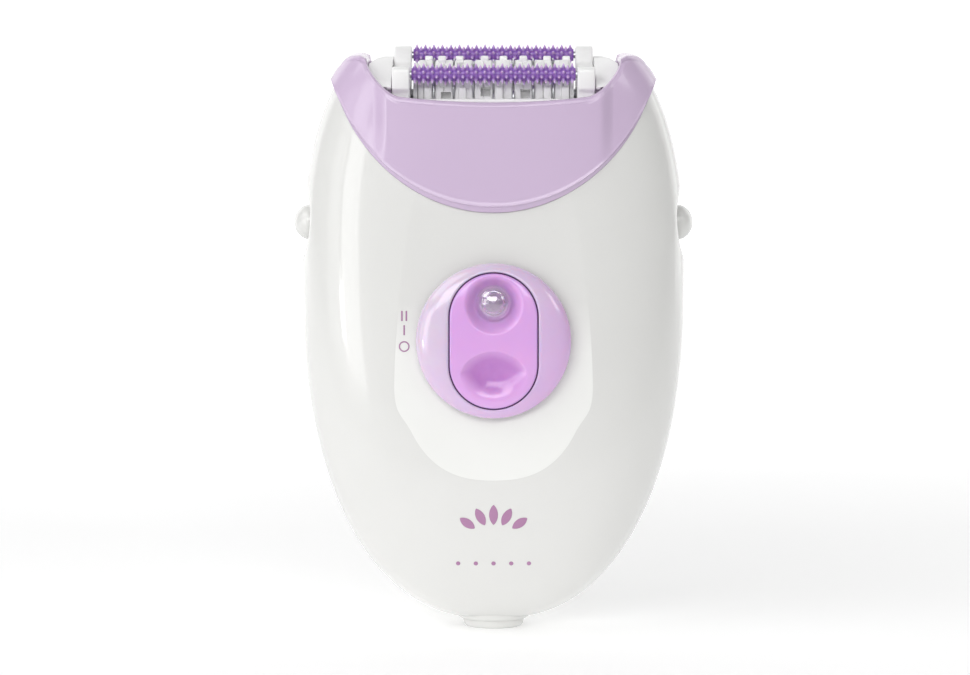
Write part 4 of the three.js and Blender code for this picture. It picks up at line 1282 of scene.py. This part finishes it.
def make_looks():
    return {
        "pearl_white": pearl_plastic(),
        "head_white": moulded_plastic("head_white", (0.95, 0.95, 0.945), (0.93, 0.93, 0.925), 0.3, 0.2),
        "lilac": moulded_plastic(
            "lilac", (0.645, 0.505, 0.695), (0.635, 0.495, 0.685), 0.26, 0.5, 0.001, 0.2),
        # The disc's tint runs from pale at the upper left to deep at the lower right: painted light and
        # shade.
        "lilac_clear": tinted_plastic(
            "lilac_clear", (0.75, 0.655, 0.78), (0.72, 0.46, 0.79), (-13, -20, 66), (12, -20, 47), 0.14),
        # The insert's tint changes a little from top to bottom as painted light and shade, and its thumb
        # scoop takes a darker tint as painted shade.
        "violet": tinted_plastic(
            "violet", (0.74, 0.39, 0.82), (0.78, 0.43, 0.84), (-6, -20, 70), (6, -20, 46), 0.24,
            (0.53, 0.21, 0.60)),
        "roller_purple": roller_rubber(),
        "clear_lens": clear_plastic(),
        "steel": metal("steel", (0.62, 0.63, 0.65), 0.3),
        "brass": metal("brass", (0.75, 0.55, 0.22), 0.32),
        "winding_copper": winding(),
        "inner_grey": moulded_plastic("inner_grey", (0.36, 0.37, 0.38), (0.30, 0.31, 0.32), 0.5),
        "gear_cream": moulded_plastic("gear_cream", (0.78, 0.73, 0.58), (0.70, 0.65, 0.50), 0.42),
        "board_green": board(),
        "dark_plastic": moulded_plastic("dark_plastic", (0.025, 0.025, 0.03), (0.04, 0.04, 0.045), 0.42),
        "lead_red": moulded_plastic("lead_red", (0.45, 0.03, 0.03), (0.38, 0.02, 0.02), 0.45),
        "lead_blue": moulded_plastic("lead_blue", (0.04, 0.09, 0.36), (0.03, 0.07, 0.28), 0.45),
        "seal_dark": moulded_plastic("seal_dark", (0.045, 0.006, 0.07), (0.06, 0.01, 0.09), 0.6),
        "print_mauve": moulded_plastic("print_mauve", (0.42, 0.20, 0.37), (0.46, 0.24, 0.41), 0.45),
    }


def finish_cad_nodes(looks):
    """Gives each carried-over CAD node its slot's material."""
    for entry in frame["record"]["subparts"]:
        node = frame["nodes"][entry["node"]]
        node.data.materials.clear()
        node.data.materials.append(looks[entry["material_slot"]])
        node.data.shade_smooth()
        node.data.set_sharp_from_angle(angle=math.radians(35))


# ---- Assembly -----------------------------------------------------------------------------------

def add_housing(looks):
    white = looks["pearl_white"]
    place(build_front_shell(), "housing", "pearl_white", white, "front_shell")
    place(build_rear_shell(), "housing", "pearl_white", white, "rear_shell")
    place(build_inlet(), "housing", "pearl_white", white, "inlet_socket")
    place(build_button("left", ALONG_MINUS_X), "button_left", "pearl_white", white, "release_button_left")
    place(build_button("right", ALONG_X), "button_right", "pearl_white", white, "release_button_right")


def add_marks(looks):
    mauve = looks["print_mauve"]
    x = SWITCH_MARKS_X
    marks = {
        "mark_off": (circle(x, 57.5, 1.02), circle(x, 57.5, 0.78)),
        "mark_speed_1": (rectangle(x, 60.6, 0.3, 1.9), None),
        "mark_speed_2_left": (rectangle(x - 0.42, 63.3, 0.3, 1.9), None),
        "mark_speed_2_right": (rectangle(x + 0.42, 63.3, 0.3, 1.9), None),
    }
    for index in range(5):
        step = index - 2
        tilt = math.radians(90 - 27 * step)
        leaf = petal(step * 2.5, LEAF_Z - 0.42 * step * step, 4.0 - 0.25 * abs(step), 1.7, tilt)
        marks[f"ornament_leaf_{index + 1}"] = (leaf, None)
    for index in range(5):
        marks[f"ornament_dot_{index + 1}"] = (circle((index - 2) * 3.4, DOT_Z, 0.42), None)
    for name, (outline, hole) in marks.items():
        place(front_print(name, outline, hole), "housing", "lilac", mauve)


def add_head(looks):
    place(build_cover(), "head", "lilac", looks["lilac"], "head_collar")
    place(build_head_base(), "head", "head_white", looks["head_white"], "head_base")
    for side in ("left", "right"):
        place(build_holder(side), "head", "head_white", looks["head_white"], f"roller_holder_{side}")
    for which in ("front", "rear"):
        roller = build_roller(f"{which}_roller_spiked", f"{which}_roller")
        place(roller, f"{which}_massage_roller", "roller_purple", looks["roller_purple"], f"{which}_roller")


def add_drum(looks):
    centre = node_centre("drum_axle")
    for index in range(1, 9):
        place(build_tweezer_block(index, centre), "drum", "head_white", looks["head_white"],
              f"tweezer_disc_{index}")
    for index in range(1, 8):
        place(build_tweezer_plate(index, centre), "drum", "steel", looks["steel"], f"tweezer_plate_{index}")


def add_switch(looks):
    place(build_switch_disc(), "switch", "lilac_clear", looks["lilac_clear"], "switch_disc")
    place(build_switch_insert(), "switch", "violet", looks["violet"], "switch_insert")
    place(build_insert_seal(), "switch", "lilac_clear", looks["seal_dark"])
    place(build_lens(), "switch", "clear_lens", looks["clear_lens"], "lamp_lens")


# ---- Stage --------------------------------------------------------------------------------------

# Everything in this section is in metres. The lights and the camera aim at the object's middle.
STUDIO_MIDDLE = Vector((0, 0, 0.0574))
# Softboxes, as (azimuth from the front towards +X, elevation, distance, width, height, radiance),
# with the angles in degrees.
SOFTBOXES = {
    "front": (-8, 27, 1.10, 1.00, 0.35, 3.8),
    "left": (-42, 8, 0.80, 0.20, 0.35, 2.8),
    "far_left": (-60, 8, 0.80, 0.22, 0.35, 1.0),
    "high_left": (-60, 45, 0.80, 0.50, 0.40, 2.2),
    "left_glint": (-50, -1, 0.80, 0.05, 0.04, 20.0),
    "right_glint": (50, 27, 0.80, 0.17, 0.20, 3.5),
    "rear_left": (-130, 15, 0.80, 0.40, 0.80, 0.3),
    "rear_right": (120, 15, 0.80, 0.40, 0.80, 0.9),
}
WORLD_STRENGTH = 0.30
BACKDROP_GLOW = 0.62
FLOOR_GLOW = 0.22
FRONT_FLOOR_GLOW = 0.05
FLOOR_FADE = (-0.14, -0.09)
BACKDROP_RISE = (0.10, 0.50)


def add_floor():
    """A pale floor that curves up into a backdrop. In front of the object it is a little darker."""
    depth = [(-1.5, 0.0), (FLOOR_FADE[0], 0.0), (0.9, 0.0)]
    depth += [(0.9 + 0.9 * math.sin(t), 0.9 - 0.9 * math.cos(t)) for t in np.linspace(0.1, math.pi / 2, 16)]
    depth += [(1.8, 3.0)]
    points = [(x, y, z) for y, z in depth for x in (-3.0, 3.0)]
    mesh = bpy.data.meshes.new("floor")
    mesh.from_pydata(points, [], grid_faces(len(depth), 2))
    mesh.shade_smooth()
    floor = bpy.data.objects.new("floor", mesh)
    bpy.context.scene.collection.objects.link(floor)
    look = Look("floor_paper")
    behind = look.spread(look.place("Y"), 0, 1, *FLOOR_FADE)
    grain = look.mix(look.spread(look.noise(1.5, 3), 0, 1), (0.93, 0.93, 0.93), (0.91, 0.91, 0.91))
    far = look.spread(look.place("Y"), FLOOR_GLOW, BACKDROP_GLOW, *BACKDROP_RISE)
    glow = look.add("ShaderNodeMix")
    look.link(behind, glow.inputs["Factor"])
    glow.inputs["A"].default_value = FRONT_FLOOR_GLOW
    look.link(far, glow.inputs["B"])
    look.set(
        Base_Color=look.mix(behind, (0.55, 0.55, 0.55), grain), Roughness=0.8,
        Emission_Color=(1.0, 1.0, 1.0), Emission_Strength=glow.outputs["Result"])
    mesh.materials.append(look.material)


def add_softbox(name, azimuth, elevation, distance, width, height, radiance):
    data = bpy.data.lights.new(name, "AREA")
    data.shape = "RECTANGLE"
    data.size, data.size_y = width, height
    data.energy = radiance * width * height * math.pi
    light = bpy.data.objects.new(name, data)
    turn, rise = math.radians(azimuth), math.radians(elevation)
    out = Vector((math.sin(turn) * math.cos(rise), -math.cos(turn) * math.cos(rise), math.sin(rise)))
    light.location = STUDIO_MIDDLE + distance * out
    light.rotation_euler = out.to_track_quat("Z", "Y").to_euler()
    light.visible_camera = False
    bpy.context.scene.collection.objects.link(light)


def add_studio():
    world = bpy.data.worlds.new("studio")
    world.use_nodes = True
    background = world.node_tree.nodes["Background"]
    background.inputs["Color"].default_value = (1, 1, 1, 1)
    background.inputs["Strength"].default_value = WORLD_STRENGTH
    scene = bpy.context.scene
    scene.world = world
    scene.view_settings.view_transform = "Standard"
    for name, settings in SOFTBOXES.items():
        add_softbox(name, *settings)


def add_camera():
    """Straight in front and a little above, with a long lens."""
    distance = 0.620
    elevation = math.radians(7)
    frame_width = 0.18915
    data = bpy.data.cameras.new("camera")
    data.sensor_width = 36
    data.lens = 36 * distance / frame_width
    data.shift_x = -0.0088
    data.shift_y = -0.0015
    camera = bpy.data.objects.new("camera", data)
    camera.location = STUDIO_MIDDLE + distance * Vector((0, -math.cos(elevation), math.sin(elevation)))
    camera.rotation_euler = (STUDIO_MIDDLE - camera.location).to_track_quat("-Z", "Y").to_euler()
    bpy.context.scene.collection.objects.link(camera)
    bpy.context.scene.camera = camera


add_camera()
looks = make_looks()
finish_cad_nodes(looks)
add_housing(looks)
add_marks(looks)
add_head(looks)
add_drum(looks)
add_switch(looks)
add_floor()
add_studio()
